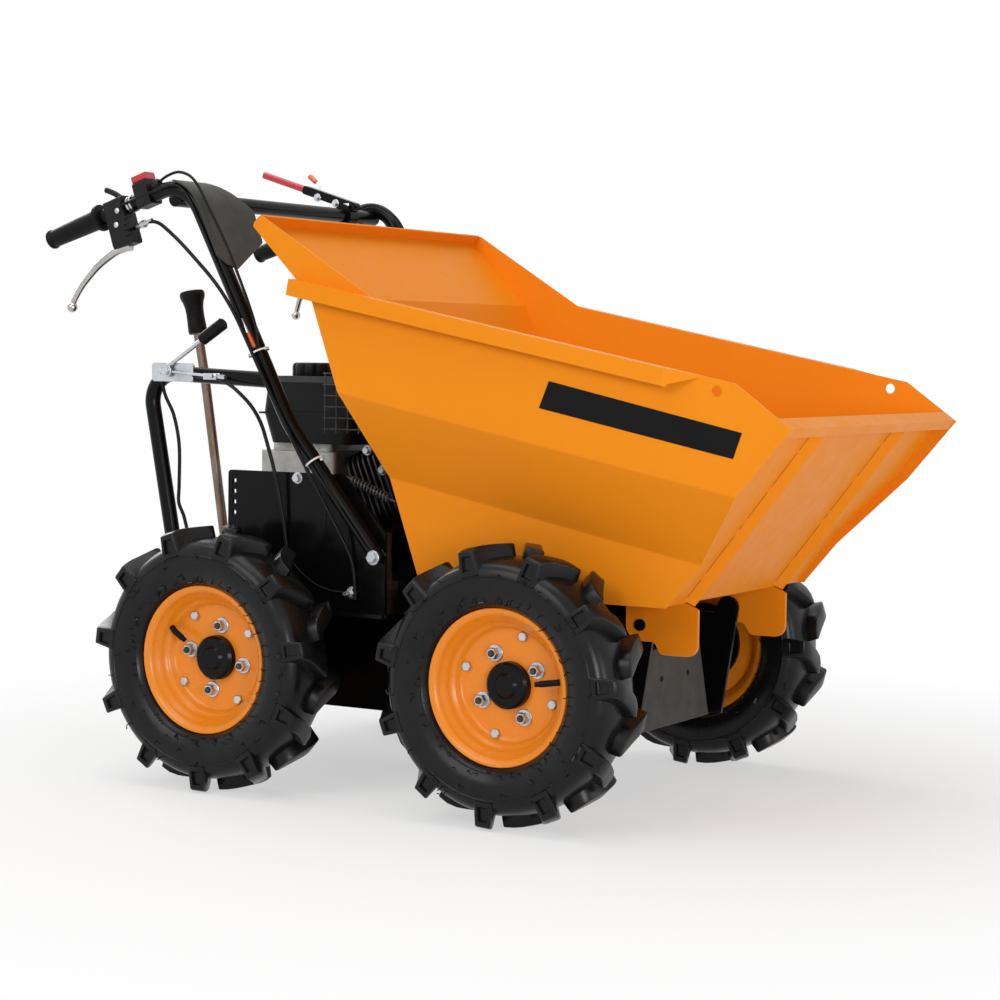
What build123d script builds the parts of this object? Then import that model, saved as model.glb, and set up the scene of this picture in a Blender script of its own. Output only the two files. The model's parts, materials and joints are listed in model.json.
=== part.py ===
"""Walk-behind four-wheel mini dumper: tipping steel skip, petrol engine, handlebar with hand controls.

Frame: +X forward (the skip's lip), +Y left, +Z up, millimetres.
Origin: on the ground, midway between the lip and the grip ends, on the machine's centre plane.
Side-view points are written from the front axle's centre: forward, then up.
"""

import math
import os

from build123d import *

os.makedirs("parts", exist_ok=True)

# Running gear
TYRE_RADIUS = 207.5
TYRE_WIDTH = 109.0
TYRE_FACETS = 30
TREAD_ROOT = 189.5
TREAD_BAND = (28.5, 186.8)
SHOULDER_BAND = (44.0, 180.5)
SIDEWALL_RADIUS = 163.0
SIDEWALL_FLAT = 152.0
SIDEWALL_BULGE = (49.5, 131.0)
LUGS_PER_SIDE = 11
LUG_WIDTH = 28.0
LUG_SWEEP = 38.0
LUG_BOW = 0.35
LUG_START = 53.0
LUG_MIDDLE = 24.0
LUG_PAST_CENTRE = 10.0
LUG_FOOT = 165.0
LUG_DRAFT = 4.0
LUG_FLAT = 30.0
LUG_SHOULDER_DROP = 5.0
WHEEL_TURNS = {"front_right": 25.0, "front_left": -5.0, "rear_right": 21.0, "rear_left": 13.0}
RIM_RADIUS = 116.0
RIM_WIDTH = 72.0
RIM_SHEET = 4.0
BEAD_DEPTH = 8.0
DISC_RADIUS = 92.0
DISC_SETBACK = 40.0
TYRE_CLEARANCE = 10.5
WHEELBASE = 532.5
HUB_RADIUS = 34.5
HUB_NOSE = 14.0
HUB_FLANGE_RADIUS = 66.0
HUB_FLANGE = 7.0
STUB_RADIUS = 15.0
STUB_DEPTH = 45.0
AXLE_TUBE_RADIUS = 25.0
AXLE_HOUSING_RADIUS = 72.0
AXLE_HOUSING_WIDTH = 120.0
AXLE_HOUSING_CROWN = (22.0, 67.0)
AXLE_HOUSING_SHOULDER = (44.0, 50.0)
HUB_GAP = 6.0

# Reach of the machine, measured from the front axle
LIP_REACH = 434.0
GRIP_TAIL = 917.0

# Skip, side view from the front axle
LIP_RISE = 383.5
CORNER_X = 350.0
CORNER_RISE = 444.5
FLOOR_FRONT = 211.0
FLOOR_RISE = 119.0
FLOOR_REAR = -204.0
FOLD_X = -361.5
FOLD_RISE = 563.5
RIM_TILT = 11.2
SKIP_SHEET = 3.0
SKIP_HALF_WIDTH = 325.6
SKIP_TYRE_GAP = 27.5
UPPER_BAND = 152.3
MIDDLE_BAND = 119.2
BEND_RADIUS = 6.0
GUARD_LENGTH = 157.0
GUARD_RETURN = 22.0
GUARD_ROUND = 7.0
GUARD_ANGLE = 45.0
GUSSET_FOOT_X = -252.0
FLANGE_OUT = 20.0
FLANGE_DROP = 25.0
FLANGE_TAPER_START = 250.0
FLANGE_TAPER_END = 296.0
LIP_RECESS = 8.0
LIP_BAR_DEPTH = 22.0
LIP_BAR_HEIGHT = 18.0
SIDE_HOLE_RADIUS = 8.0
SIDE_HOLE_X = 322.0
SIDE_HOLE_RISE = 433.5
RIB_LEG = 18.5
RIB_FOOT_GAP = 4.5
RIB_TOP_GAP = 2.0

# Tipping hinge
PIVOT_X = 125.5
PIVOT_RISE = 81.5
PIN_RADIUS = 8.7
PIN_PLAY = 0.3
BRACKET_SHEET = 6.0
BRACKET_Y = 158.0
BRACKET_LOBE = 24.0
BRACKET_FRONT = 220.0
BRACKET_DROP = 80.0
BRACKET_ROUND = 18.0
BRACKET_NOTCH_ROUND = 10.0

# Chassis
PLATE = 6.0
CHASSIS_HALF_WIDTH = 149.0
CHASSIS_TOP_RISE = 72.5
CHASSIS_BOTTOM_RISE = -89.5
CHASSIS_REAR = -730.0
CHASSIS_HEEL = 24.0
CHASSIS_NOSE_TOP = 140.0
CHASSIS_NOSE_BOTTOM = 117.0
FRONT_PLATE_X = 105.0
FRONT_PLATE_TOP = 84.0
FRONT_PLATE_FOOT = 122.0
FRONT_HOLE_RADIUS = 5.0
FRONT_HOLE_SPACING = 91.0
FRONT_HOLE_RISE = -14.0
DECK_HALF_WIDTH = 266.0
DECK_FRONT = -262.0
REST_X = -150.0
REST_LENGTH = 40.0
REST_GAP = 0.3
GUARD_PLATE_REAR = -585.0
GUARD_PLATE_FRONT = -282.0
GUARD_PLATE_RISE = 290.0
GUARD_NOTCH_X = -362.0
GUARD_NOTCH_RISE = 200.0
GUARD_SLOT_RADIUS = 4.0
GUARD_SLOT_PITCH = 17.0
GUARD_SLOT_DROP = 42.5
GUARD_SLOT_EDGE = 12.0

# Handlebar and hoops
TUBE_RADIUS = 12.5
GRIP_RADIUS = 16.0
GRIP_LENGTH = 108.0
GRIP_WAIST = 14.0
GRIP_FLANGE = 8.0
GRIP_COLLAR = 22.0
GRIP_COLLAR_WIDTH = 8.0
HANDLE_INSET = 20.0
HANDLE_KINK_OUT = 11.0
HANDLE_TOP_OUT = 39.0
HANDLE_FOOT = (-283.0, 160.5)
HANDLE_KINK = (-448.0, 367.5)
HANDLE_CORNER = (-630.0, 750.5)
GRIP_SLOPE = 18.0
KINK_BEND = 160.0
CORNER_BEND = 62.0
CROSS_BAR_BACK = 26.0
CROSS_BAR_DROP = 21.5
HOOP_INSET = 12.0
HOOP_FOOT_X = -661.0
HOOP_CORNER = (-733.0, 445.0)
HOOP_FALL = 10.0
HOOP_BEND = 45.0
CLAMP_ROUND = 6.0
WELD_GAP = 0.3

# Controls
PERCH_BACK = 146.0
PERCH_LENGTH = 38.0
PERCH_WIDTH = 30.0
PERCH_ABOVE = 18.0
PERCH_BELOW = 62.0
LEVER_RADIUS = 5.0
LEVER_BALL = 8.5
LEVER_TIP = (-842.0, 545.5)
LEVER_TIP_Y = 312.0
LEVER_KNEE_OUT = 12.0
LEVER_KNEE_BACK = 46.0
LEVER_BEND = 86.0
SWITCH_BACK = 84.0
SWITCH_LENGTH = 28.0
SWITCH_WIDTH = 32.0
SWITCH_ABOVE = 27.0
SWITCH_BELOW = 15.0
BUTTON_LENGTH = 28.0
BUTTON_HEIGHT = 11.0
BUTTON_ROUND = 2.0
TIP_LEVER_INSET = 50.0
TIP_CLAMP_RADIUS = 19.0
TIP_CLAMP_WIDTH = 24.0
TIP_BODY_LENGTH = 118.0
TIP_GRIP_LENGTH = 96.0
TIP_LEVER_TILT = 17.2
TIP_LEVER_SECTION = 15.0
TIP_LEVER_ROUND = 5.0
TIP_GRIP_HEIGHT = 12.0
TIP_GRIP_ROUND = 3.5
SHROUD_SHEET = 2.5
SHROUD_OVER = 8.0
SHROUD_OUT = 18.0
SHROUD_TOP_WIDTH = 70.0
SHROUD_SHOULDER = (104.0, 34.0)
SHROUD_WIDTH = 126.0
SHROUD_SIDE = (56.0, 112.0)
SHROUD_TOE = 24.0
SHROUD_DROP = 163.0
SHROUD_HEEL = 140.0
GEAR_Y = -80.0
GEAR_FOOT_X = -701.0
GEAR_KNEE = (-752.0, 438.0)
GEAR_TOP = (-781.0, 580.0)
GEAR_ROD_RADIUS = 8.0
KNOB_RADIUS = 19.5
KNOB_NECK = 12.5
KNOB_FOOT = 14.0
KNOB_MOUTH = 11.0
KNOB_LENGTH = 72.0
LOCK_PLATE_LENGTH = 84.0
LOCK_PLATE_HEIGHT = 30.0
LOCK_PLATE_SHEET = 4.0
LOCK_PLATE_AHEAD = 63.0
LOCK_LEVER_LENGTH = 150.0
LOCK_LEVER_TILT = 32.0
LOCK_GRIP_LENGTH = 52.0
LOCK_GRIP_RADIUS = 10.0
LOCK_GRIP_ROUND = 2.5
LOCK_ROD_RADIUS = 4.0
CABLE_RADIUS = 3.0
CABLE_BEND_SHARE = 0.45
CABLE_GAP = 0.8

# Engine
ENGINE_X = -552.0
CASE_LENGTH = 150.0
CASE_WIDTH = 190.0
CASE_HEIGHT = 226.0
CASE_ROUND = 14.0
FOOT_HEIGHT = 12.0
FOOT_LENGTH = 160.0
CYLINDER_TILT = 23.0
CYLINDER_RISE = 235.0
CYLINDER_CORE = 96.0
CYLINDER_FIN = 138.0
CYLINDER_FIN_SHEET = 3.5
CYLINDER_FIN_PITCH = 10.5
CYLINDER_FIN_COUNT = 9
CYLINDER_ROOT = 52.0
CYLINDER_FIN_GAP = 2.0
HEAD_LENGTH = 22.0
TANK_LENGTH = 182.0
TANK_WIDTH = 220.0
TANK_RISE = 330.0
TANK_LOWER_HEIGHT = 49.5
TANK_UPPER_HEIGHT = 61.0
TANK_CENTRE_X = -521.0
TANK_SEAM_LIP = 7.0
TANK_SEAM_SHEET = 3.0
TANK_TAPER = 10.0
TANK_ROUND = 16.0
CAP_RADIUS = 42.0
CAP_HEIGHT = 22.0
CAP_X = -560.0
CAP_Y = -22.0
MUFFLER_LENGTH = 78.0
MUFFLER_WIDTH = 112.0
MUFFLER_HEIGHT = 84.0
MUFFLER_GAP = 10.0
AIR_BOX_GAP = 8.0
PORT_RADIUS = 10.0
PORT_DROP = 48.0
PORT_Y = 30.0
RECOIL_RADIUS = 98.0
RECOIL_DEPTH = 46.0
GEARBOX_LENGTH = 74.0
GEARBOX_WIDTH = 150.0
GEARBOX_HEIGHT = 58.0

# Places that follow from the sizes above
AXLE_Z = TYRE_RADIUS
FRONT_AXLE_X = (GRIP_TAIL - LIP_REACH) / 2
REAR_AXLE_X = FRONT_AXLE_X - WHEELBASE
WHEEL_Y = DECK_HALF_WIDTH + TYRE_CLEARANCE + TYRE_WIDTH / 2
SKIP_HALF_FLOOR = WHEEL_Y - TYRE_WIDTH / 2 - SKIP_TYRE_GAP
DECK_TOP_RISE = CHASSIS_TOP_RISE + PLATE
HANDLE_FOOT_Y = DECK_HALF_WIDTH - HANDLE_INSET
TIP_LEVER_Y = HANDLE_FOOT_Y - TIP_LEVER_INSET
HANDLE_KINK_Y = HANDLE_FOOT_Y + HANDLE_KINK_OUT
HANDLE_TOP_Y = HANDLE_FOOT_Y + HANDLE_TOP_OUT
HOOP_Y = DECK_HALF_WIDTH - HOOP_INSET
TANK_SEAM_RISE = TANK_RISE + TANK_LOWER_HEIGHT
TANK_TOP_RISE = TANK_SEAM_RISE + TANK_UPPER_HEIGHT


def at(point):
    """Side-view point (forward, up) from the front axle, as model X and Z."""
    return (FRONT_AXLE_X + point[0], AXLE_Z + point[1])


def at_y(point, y):
    """The same point in space, at the given distance to the left."""
    x, z = at(point)
    return (x, y, z)


def side_plane(y):
    """Side view at y: sketch X is forward, sketch Y is up, the normal points right."""
    return Plane.XZ.offset(-y)


def save(builder, name):
    """Labels a finished piece and writes it."""
    builder.part.label = name
    export_step(builder.part, f"parts/{name}.step")


def side_shape(points):
    """A closed side-view outline on the centre plane."""
    with BuildSketch(side_plane(0)) as shape:
        with BuildLine():
            Polyline(*[at(point) for point in points], close=True)
        make_face()
    return shape.sketch


def bent_rod(points, bends, radius):
    """A round rod through points, its corners rounded to the given bends."""
    with BuildPart() as rod:
        with BuildLine() as path:
            if len(points) == 2:
                Line(*points)
            else:
                FilletPolyline(*points, radius=bends)
        with BuildSketch(Plane(origin=path.line @ 0, z_dir=path.line % 0)):
            Circle(radius)
        sweep(path=path.line)
    return rod.part


def offset_corner(before, corner, after, distance):
    """The corner of a side-view outline moved inside it by the sheet's thickness."""
    first = Vector(corner[0] - before[0], corner[1] - before[1]).normalized()
    second = Vector(after[0] - corner[0], after[1] - corner[1]).normalized()
    turn = math.atan2(first.X * second.Y - first.Y * second.X, first.dot(second))
    along = distance * math.tan(turn / 2)
    return (
        corner[0] - first.Y * distance - first.X * along,
        corner[1] + first.X * distance - first.Y * along,
    )


# Skip outline: the walls' outer faces in side view, anticlockwise from the floor's rear edge
RIM_SLOPE = math.tan(math.radians(RIM_TILT))
floor_rear = (FLOOR_REAR, FLOOR_RISE)
floor_front = (FLOOR_FRONT, FLOOR_RISE)
lip = (LIP_REACH, LIP_RISE)
rim_corner = (CORNER_X, CORNER_RISE)
fold = (FOLD_X, FOLD_RISE)
rim_rear_x = (CORNER_RISE + RIM_SLOPE * CORNER_X - FOLD_RISE - FOLD_X) / (RIM_SLOPE - 1)
rim_rear = (rim_rear_x, FOLD_RISE + FOLD_X - rim_rear_x)
guard_run = GUARD_LENGTH * math.cos(math.radians(GUARD_ANGLE))
guard_top = (FOLD_X - guard_run, FOLD_RISE + guard_run)
gusset_foot = (GUSSET_FOOT_X, CORNER_RISE + RIM_SLOPE * (CORNER_X - GUSSET_FOOT_X))
side_outline = [floor_rear, floor_front, lip, rim_corner, rim_rear, fold]

# The front wall is set back behind the side walls' front edges
front_length = math.dist(floor_front, lip)
front_along = ((lip[0] - floor_front[0]) / front_length, (lip[1] - floor_front[1]) / front_length)
front_inward = (-front_along[1], front_along[0])


def from_front(along, inward):
    """A point measured up the side walls' front edge from the floor, and in behind it."""
    return (
        floor_front[0] + front_along[0] * along + front_inward[0] * inward,
        floor_front[1] + front_along[1] * along + front_inward[1] * inward,
    )


def floor_corner(inward, raised):
    """Where the front wall, set in by inward, meets the floor's level, raised by a sheet."""
    reach = (raised - front_inward[1] * inward) / front_along[1]
    return from_front(reach, inward)


front_foot = floor_corner(LIP_RECESS, 0)
front_foot_inner = floor_corner(LIP_RECESS + SKIP_SHEET, SKIP_SHEET)
rear_foot_inner = offset_corner(fold, floor_rear, floor_front, SKIP_SHEET)
fold_inner = offset_corner(guard_top, fold, floor_rear, SKIP_SHEET)
edge_run = (lip[0] - rim_corner[0], lip[1] - rim_corner[1])
edge_fall = edge_run[1] / edge_run[0]


def edge_point(inward):
    """A point inward of the front edge, on the sloping line from the rim corner to the lip."""
    along_x, along_z = front_along
    start = from_front(0, inward)
    reach = lip[1] - start[1] + edge_fall * (start[0] - lip[0])
    reach = reach / (along_z - edge_fall * along_x)
    return from_front(reach, inward)


front_top = edge_point(LIP_BAR_DEPTH)
front_top_inner = edge_point(LIP_BAR_DEPTH + SKIP_SHEET)
front_run = math.dist(front_foot, front_top)
wall_along = ((front_top[0] - front_foot[0]) / front_run, (front_top[1] - front_foot[1]) / front_run)


def on_front_wall(along):
    """A point up the front wall's outer face from the floor."""
    return (front_foot[0] + wall_along[0] * along, front_foot[1] + wall_along[1] * along)


# Cross-section plane of the skip: it looks along the tilted rim, Y to the left, up square to the rim
rim_forward = (math.cos(math.radians(RIM_TILT)), 0, -math.sin(math.radians(RIM_TILT)))
rim_up = (math.sin(math.radians(RIM_TILT)), 0, math.cos(math.radians(RIM_TILT)))
section_plane = Plane(origin=at_y(rim_corner, 0), x_dir=(0, 1, 0), z_dir=rim_forward)
rim_plane = Plane(origin=at_y(rim_corner, 0), x_dir=rim_forward, z_dir=rim_up)
band_lean = math.atan2(SKIP_HALF_WIDTH - SKIP_HALF_FLOOR, MIDDLE_BAND)
SKIP_DEEP = LIP_REACH + abs(FOLD_X)
SKIP_REACH = 2 * SKIP_DEEP


def wall_points(inset):
    """One side wall's skin in the cross-section, moved in by inset, from above the rim to below the floor."""
    lift = inset * math.tan(band_lean / 2)
    return [
        (SKIP_HALF_WIDTH - inset, SKIP_DEEP),
        (SKIP_HALF_WIDTH - inset, lift - UPPER_BAND),
        (SKIP_HALF_FLOOR - inset, lift - UPPER_BAND - MIDDLE_BAND),
        (SKIP_HALF_FLOOR - inset, -SKIP_DEEP),
    ]


def wall_line(inset):
    """The skin's line with its two bends rounded about the same centres as the sheet's other face."""
    bends = [BEND_RADIUS + SKIP_SHEET - inset, BEND_RADIUS + inset]
    return FilletPolyline(*wall_points(inset), radius=bends)


def inner_section():
    """The space between the side walls, closed far above the rim and far below the floor."""
    with BuildSketch(section_plane) as section:
        with BuildLine():
            wall = wall_line(SKIP_SHEET)
            Line(wall @ 0, (0, SKIP_DEEP))
            Line(wall @ 1, (0, -SKIP_DEEP))
            mirror(about=Plane.YZ)
        make_face()
    return section.sketch


def wall_section():
    """The left side wall's sheet in the cross-section."""
    with BuildSketch(section_plane) as section:
        with BuildLine():
            outer = wall_line(0)
            inner = wall_line(SKIP_SHEET)
            Line(outer @ 0, inner @ 0)
            Line(outer @ 1, inner @ 1)
        make_face()
    return section.sketch


def flange_section():
    """The left rim's folded edge: out over the side and down."""
    outer = SKIP_HALF_WIDTH + FLANGE_OUT
    with BuildSketch(section_plane) as section:
        with BuildLine():
            Polyline(
                (SKIP_HALF_WIDTH, 0),
                (outer, 0),
                (outer, -FLANGE_DROP),
                (outer - SKIP_SHEET, -FLANGE_DROP),
                (outer - SKIP_SHEET, -SKIP_SHEET),
                (SKIP_HALF_WIDTH, -SKIP_SHEET),
                close=True,
            )
        make_face()
    return section.sketch


def along_rim(x):
    """Distance of a side-view X along the tilted rim, from its front corner."""
    return (x - CORNER_X) / math.cos(math.radians(RIM_TILT))


# Skip side walls
with BuildPart() as skip_side_left:
    extrude(wall_section(), amount=SKIP_REACH, both=True)
    extrude(side_shape(side_outline), amount=SKIP_REACH, both=True, mode=Mode.INTERSECT)
    rear_end = along_rim(rim_rear[0])
    front_end = along_rim(FLANGE_TAPER_END)
    extrude(
        flange_section().moved(Location(Vector(rim_forward) * rear_end)),
        amount=front_end - rear_end,
    )
    taper = [
        (along_rim(FLANGE_TAPER_START), SKIP_HALF_WIDTH + FLANGE_OUT),
        (front_end, SKIP_HALF_WIDTH),
        (front_end, SKIP_HALF_WIDTH + FLANGE_OUT),
    ]
    with BuildSketch(rim_plane):
        with BuildLine():
            Polyline(*taper, close=True)
        make_face()
    extrude(amount=FLANGE_DROP * 2, both=True, mode=Mode.SUBTRACT)
    slant_start = rim_plane.from_local_coords((*taper[0], 0))
    slant = rim_plane.from_local_coords((*taper[1], 0)) - slant_start
    slant_plane = Plane(origin=slant_start, x_dir=slant, z_dir=slant.cross(Vector(rim_up)))
    with BuildSketch(slant_plane):
        with BuildLine():
            Polyline((0, 0), (slant.length, 0), (slant.length, -SKIP_SHEET), (0, -FLANGE_DROP), close=True)
        make_face()
    extrude(amount=SKIP_SHEET)
    with BuildSketch(side_plane(SKIP_HALF_WIDTH)):
        with Locations(at((SIDE_HOLE_X, SIDE_HOLE_RISE))):
            Circle(SIDE_HOLE_RADIUS)
    extrude(amount=2 * SKIP_SHEET, both=True, mode=Mode.SUBTRACT)
save(skip_side_left, "skip_side_left")

with BuildPart() as skip_side_right:
    mirror(skip_side_left.part, about=Plane.XZ)
save(skip_side_right, "skip_side_right")

# Skip floor, front and rear walls, fitted between the side walls and mitred to each other
with BuildPart() as skip_floor:
    floor_profile = [floor_rear, front_foot, front_foot_inner, rear_foot_inner]
    extrude(side_shape(floor_profile), amount=SKIP_REACH, both=True)
    extrude(inner_section(), amount=SKIP_REACH, both=True, mode=Mode.INTERSECT)
save(skip_floor, "skip_floor")

with BuildPart() as skip_front:
    front_profile = [front_foot, front_top, front_top_inner, front_foot_inner]
    extrude(side_shape(front_profile), amount=SKIP_REACH, both=True)
    extrude(inner_section(), amount=SKIP_REACH, both=True, mode=Mode.INTERSECT)
save(skip_front, "skip_front")

with BuildPart() as skip_rear:
    rear_profile = [fold, floor_rear, rear_foot_inner, fold_inner]
    extrude(side_shape(rear_profile), amount=SKIP_REACH, both=True)
    extrude(inner_section(), amount=SKIP_REACH, both=True, mode=Mode.INTERSECT)
save(skip_rear, "skip_rear")

# Raised guard over the rear wall, with its return edge and its two gussets on the rim
return_run = GUARD_RETURN * math.cos(math.radians(GUARD_ANGLE))
guard_edge = (guard_top[0] + return_run, guard_top[1] + return_run)
guard_top_inner = offset_corner(guard_edge, guard_top, fold, SKIP_SHEET)
sheet_run = SKIP_SHEET * math.cos(math.radians(GUARD_ANGLE))
guard_edge_inner = (guard_edge[0] + sheet_run, guard_edge[1] - sheet_run)
guard_inner_width = SKIP_HALF_WIDTH - SKIP_SHEET

with BuildPart() as skip_guard:
    guard_profile = [fold, fold_inner, guard_top_inner, guard_edge_inner, guard_edge, guard_top]
    extrude(side_shape(guard_profile), amount=guard_inner_width, both=True)
    with BuildSketch(side_plane(SKIP_HALF_WIDTH)) as gusset:
        with BuildLine():
            Polyline(at(gusset_foot), at(guard_edge), at(guard_top), at(rim_rear), close=True)
        make_face()
        fillet(gusset.vertices().sort_by(Axis.Y)[-2:], radius=GUARD_ROUND)
    extrude(amount=SKIP_SHEET)
    mirror(about=Plane.XZ)
save(skip_guard, "skip_guard")

# Bar along the pouring lip, between the side walls
with BuildPart() as skip_lip:
    bar_top = edge_point(SKIP_SHEET / 2)
    bar_reach = math.dist(bar_top, from_front(0, SKIP_SHEET / 2)) - LIP_BAR_HEIGHT
    bar_foot = from_front(bar_reach, SKIP_SHEET / 2)
    bar_foot_back = on_front_wall(front_run - LIP_BAR_HEIGHT)
    extrude(side_shape([bar_top, front_top, bar_foot_back, bar_foot]), amount=guard_inner_width, both=True)
save(skip_lip, "skip_lip")

# Two angle irons down the front wall
rib_plane = Plane(
    origin=at_y(front_foot, 0),
    x_dir=(0, 1, 0),
    z_dir=(wall_along[0], 0, wall_along[1]),
)
with BuildPart() as skip_ribs:
    rib_half = RIB_LEG * math.sqrt(0.5)
    rib_inner = rib_half - SKIP_SHEET * math.sqrt(2)
    with BuildSketch(rib_plane.offset(RIB_FOOT_GAP)):
        with BuildLine():
            Polyline(
                (BRACKET_Y - rib_half, 0),
                (BRACKET_Y, -rib_half),
                (BRACKET_Y + rib_half, 0),
                (BRACKET_Y + rib_inner, 0),
                (BRACKET_Y, -rib_inner),
                (BRACKET_Y - rib_inner, 0),
                close=True,
            )
        make_face()
    extrude(amount=front_run - LIP_BAR_HEIGHT - RIB_TOP_GAP - RIB_FOOT_GAP)
    mirror(about=Plane.XZ)
save(skip_ribs, "skip_ribs")

# Hinge brackets under the skip's front corner
pivot = (PIVOT_X, PIVOT_RISE)
with BuildPart() as hinge_brackets:
    with BuildSketch(side_plane(BRACKET_Y + BRACKET_SHEET / 2)) as bracket:
        with BuildLine():
            bracket_foot = FLOOR_RISE - BRACKET_DROP
            lobe_rear = PIVOT_X - BRACKET_LOBE
            notch_x = PIVOT_X + BRACKET_LOBE
            notch_rise = PIVOT_RISE - BRACKET_LOBE
            Polyline(
                at((lobe_rear, FLOOR_RISE)),
                at(front_foot),
                at((BRACKET_FRONT, FLOOR_RISE - BRACKET_NOTCH_ROUND)),
            )
            FilletPolyline(
                at((BRACKET_FRONT, FLOOR_RISE - BRACKET_NOTCH_ROUND)),
                at((BRACKET_FRONT, bracket_foot)),
                at((notch_x + BRACKET_NOTCH_ROUND, bracket_foot)),
                at((notch_x, notch_rise)),
                at((PIVOT_X, notch_rise)),
                radius=[BRACKET_ROUND, BRACKET_NOTCH_ROUND, BRACKET_NOTCH_ROUND],
            )
            RadiusArc(at((PIVOT_X, notch_rise)), at((lobe_rear, PIVOT_RISE)), BRACKET_LOBE)
            Line(at((lobe_rear, PIVOT_RISE)), at((lobe_rear, FLOOR_RISE)))
        make_face()
        with Locations(at(pivot)):
            Circle(PIN_RADIUS + PIN_PLAY, mode=Mode.SUBTRACT)
    extrude(amount=BRACKET_SHEET)
    mirror(about=Plane.XZ)
save(hinge_brackets, "hinge_brackets")

# Chassis side plates with the ears that carry the hinge
with BuildPart() as chassis_sides:
    with BuildSketch(side_plane(CHASSIS_HALF_WIDTH)):
        with BuildLine():
            Polyline(
                at((CHASSIS_REAR, CHASSIS_TOP_RISE)),
                at((CHASSIS_REAR, CHASSIS_BOTTOM_RISE + PLATE)),
                at((CHASSIS_REAR + CHASSIS_HEEL, CHASSIS_BOTTOM_RISE)),
                at((CHASSIS_NOSE_BOTTOM, CHASSIS_BOTTOM_RISE)),
                at((CHASSIS_NOSE_TOP, PIVOT_RISE - BRACKET_LOBE)),
                at((PIVOT_X + BRACKET_LOBE - PLATE, PIVOT_RISE)),
            )
            RadiusArc(
                at((PIVOT_X + BRACKET_LOBE - PLATE, PIVOT_RISE)),
                at((PIVOT_X - BRACKET_LOBE + PLATE, PIVOT_RISE)),
                -(BRACKET_LOBE - PLATE),
            )
            Polyline(
                at((PIVOT_X - BRACKET_LOBE + PLATE, PIVOT_RISE)),
                at((PIVOT_X - BRACKET_LOBE, CHASSIS_TOP_RISE)),
                at((CHASSIS_REAR, CHASSIS_TOP_RISE)),
            )
        make_face()
        with Locations(at((0, 0)), at((-WHEELBASE, 0))):
            Circle(AXLE_TUBE_RADIUS + WELD_GAP, mode=Mode.SUBTRACT)
        with Locations(at(pivot)):
            Circle(PIN_RADIUS + WELD_GAP, mode=Mode.SUBTRACT)
    extrude(amount=PLATE)
    mirror(about=Plane.XZ)
save(chassis_sides, "chassis_sides")

# Pivot pins: a head inside each ear, a spacer collar outside it, and the bearing length in the bracket
with BuildPart() as pivot_pins:
    collar_start = CHASSIS_HALF_WIDTH
    collar_end = BRACKET_Y - BRACKET_SHEET / 2 - WELD_GAP
    pin_end = BRACKET_Y + BRACKET_SHEET / 2 + PLATE / 2
    head_inner = CHASSIS_HALF_WIDTH - 2 * PLATE
    collar_radius = PIN_RADIUS + PLATE
    with BuildSketch(side_plane(pin_end)):
        with Locations(at(pivot)):
            Circle(PIN_RADIUS)
    extrude(amount=pin_end - head_inner)
    with BuildSketch(side_plane(collar_end)):
        with Locations(at(pivot)):
            Circle(collar_radius)
    extrude(amount=collar_end - collar_start)
    with BuildSketch(side_plane(CHASSIS_HALF_WIDTH - PLATE)):
        with Locations(at(pivot)):
            Circle(collar_radius)
    extrude(amount=PLATE)
    with BuildSketch(side_plane(pin_end)):
        with Locations(at(pivot)):
            Circle(PIN_RADIUS / 2)
    extrude(amount=PLATE, mode=Mode.SUBTRACT)
    mirror(about=Plane.XZ)
save(pivot_pins, "pivot_pins")

# Chassis pan: the bottom plate and its upturned rear end
pan_half_width = CHASSIS_HALF_WIDTH - PLATE
with BuildPart() as chassis_pan:
    pan_front = FRONT_PLATE_X - PLATE
    extrude(
        side_shape(
            [
                (pan_front, CHASSIS_BOTTOM_RISE),
                (pan_front, CHASSIS_BOTTOM_RISE + PLATE),
                (CHASSIS_REAR + CHASSIS_HEEL + PLATE, CHASSIS_BOTTOM_RISE + PLATE),
                (CHASSIS_REAR + PLATE, CHASSIS_BOTTOM_RISE + 2 * PLATE),
                (CHASSIS_REAR + PLATE, CHASSIS_TOP_RISE),
                (CHASSIS_REAR, CHASSIS_TOP_RISE),
                (CHASSIS_REAR, CHASSIS_BOTTOM_RISE + PLATE),
                (CHASSIS_REAR + CHASSIS_HEEL, CHASSIS_BOTTOM_RISE),
            ]
        ),
        amount=pan_half_width,
        both=True,
    )
save(chassis_pan, "chassis_pan")

# Front plate: a tapered shield with two bolt holes
with BuildPart() as front_plate:
    shield_top = AXLE_Z + PIVOT_RISE - 2 * BRACKET_LOBE
    shield_foot = AXLE_Z + CHASSIS_BOTTOM_RISE
    with BuildSketch(Plane.YZ.offset(FRONT_AXLE_X + FRONT_PLATE_X)):
        with BuildLine():
            Polyline(
                (-FRONT_PLATE_FOOT, shield_foot),
                (FRONT_PLATE_FOOT, shield_foot),
                (FRONT_PLATE_TOP, shield_top),
                (-FRONT_PLATE_TOP, shield_top),
                close=True,
            )
        make_face()
        with Locations((0, AXLE_Z + FRONT_HOLE_RISE)):
            with GridLocations(FRONT_HOLE_SPACING, 0, 2, 1):
                Circle(FRONT_HOLE_RADIUS, mode=Mode.SUBTRACT)
    extrude(amount=-PLATE)
save(front_plate, "front_plate")

# Rest under the skip's floor
with BuildPart() as skip_rest:
    rest_top = FLOOR_RISE - REST_GAP
    rest_middle = at((REST_X, (CHASSIS_TOP_RISE + rest_top) / 2))
    with Locations((rest_middle[0], 0, rest_middle[1])):
        Box(REST_LENGTH, 2 * CHASSIS_HALF_WIDTH, rest_top - CHASSIS_TOP_RISE)
    fillet(skip_rest.edges().filter_by(Axis.Y).group_by(Axis.Z)[-1], radius=PLATE)
save(skip_rest, "skip_rest")

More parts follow.
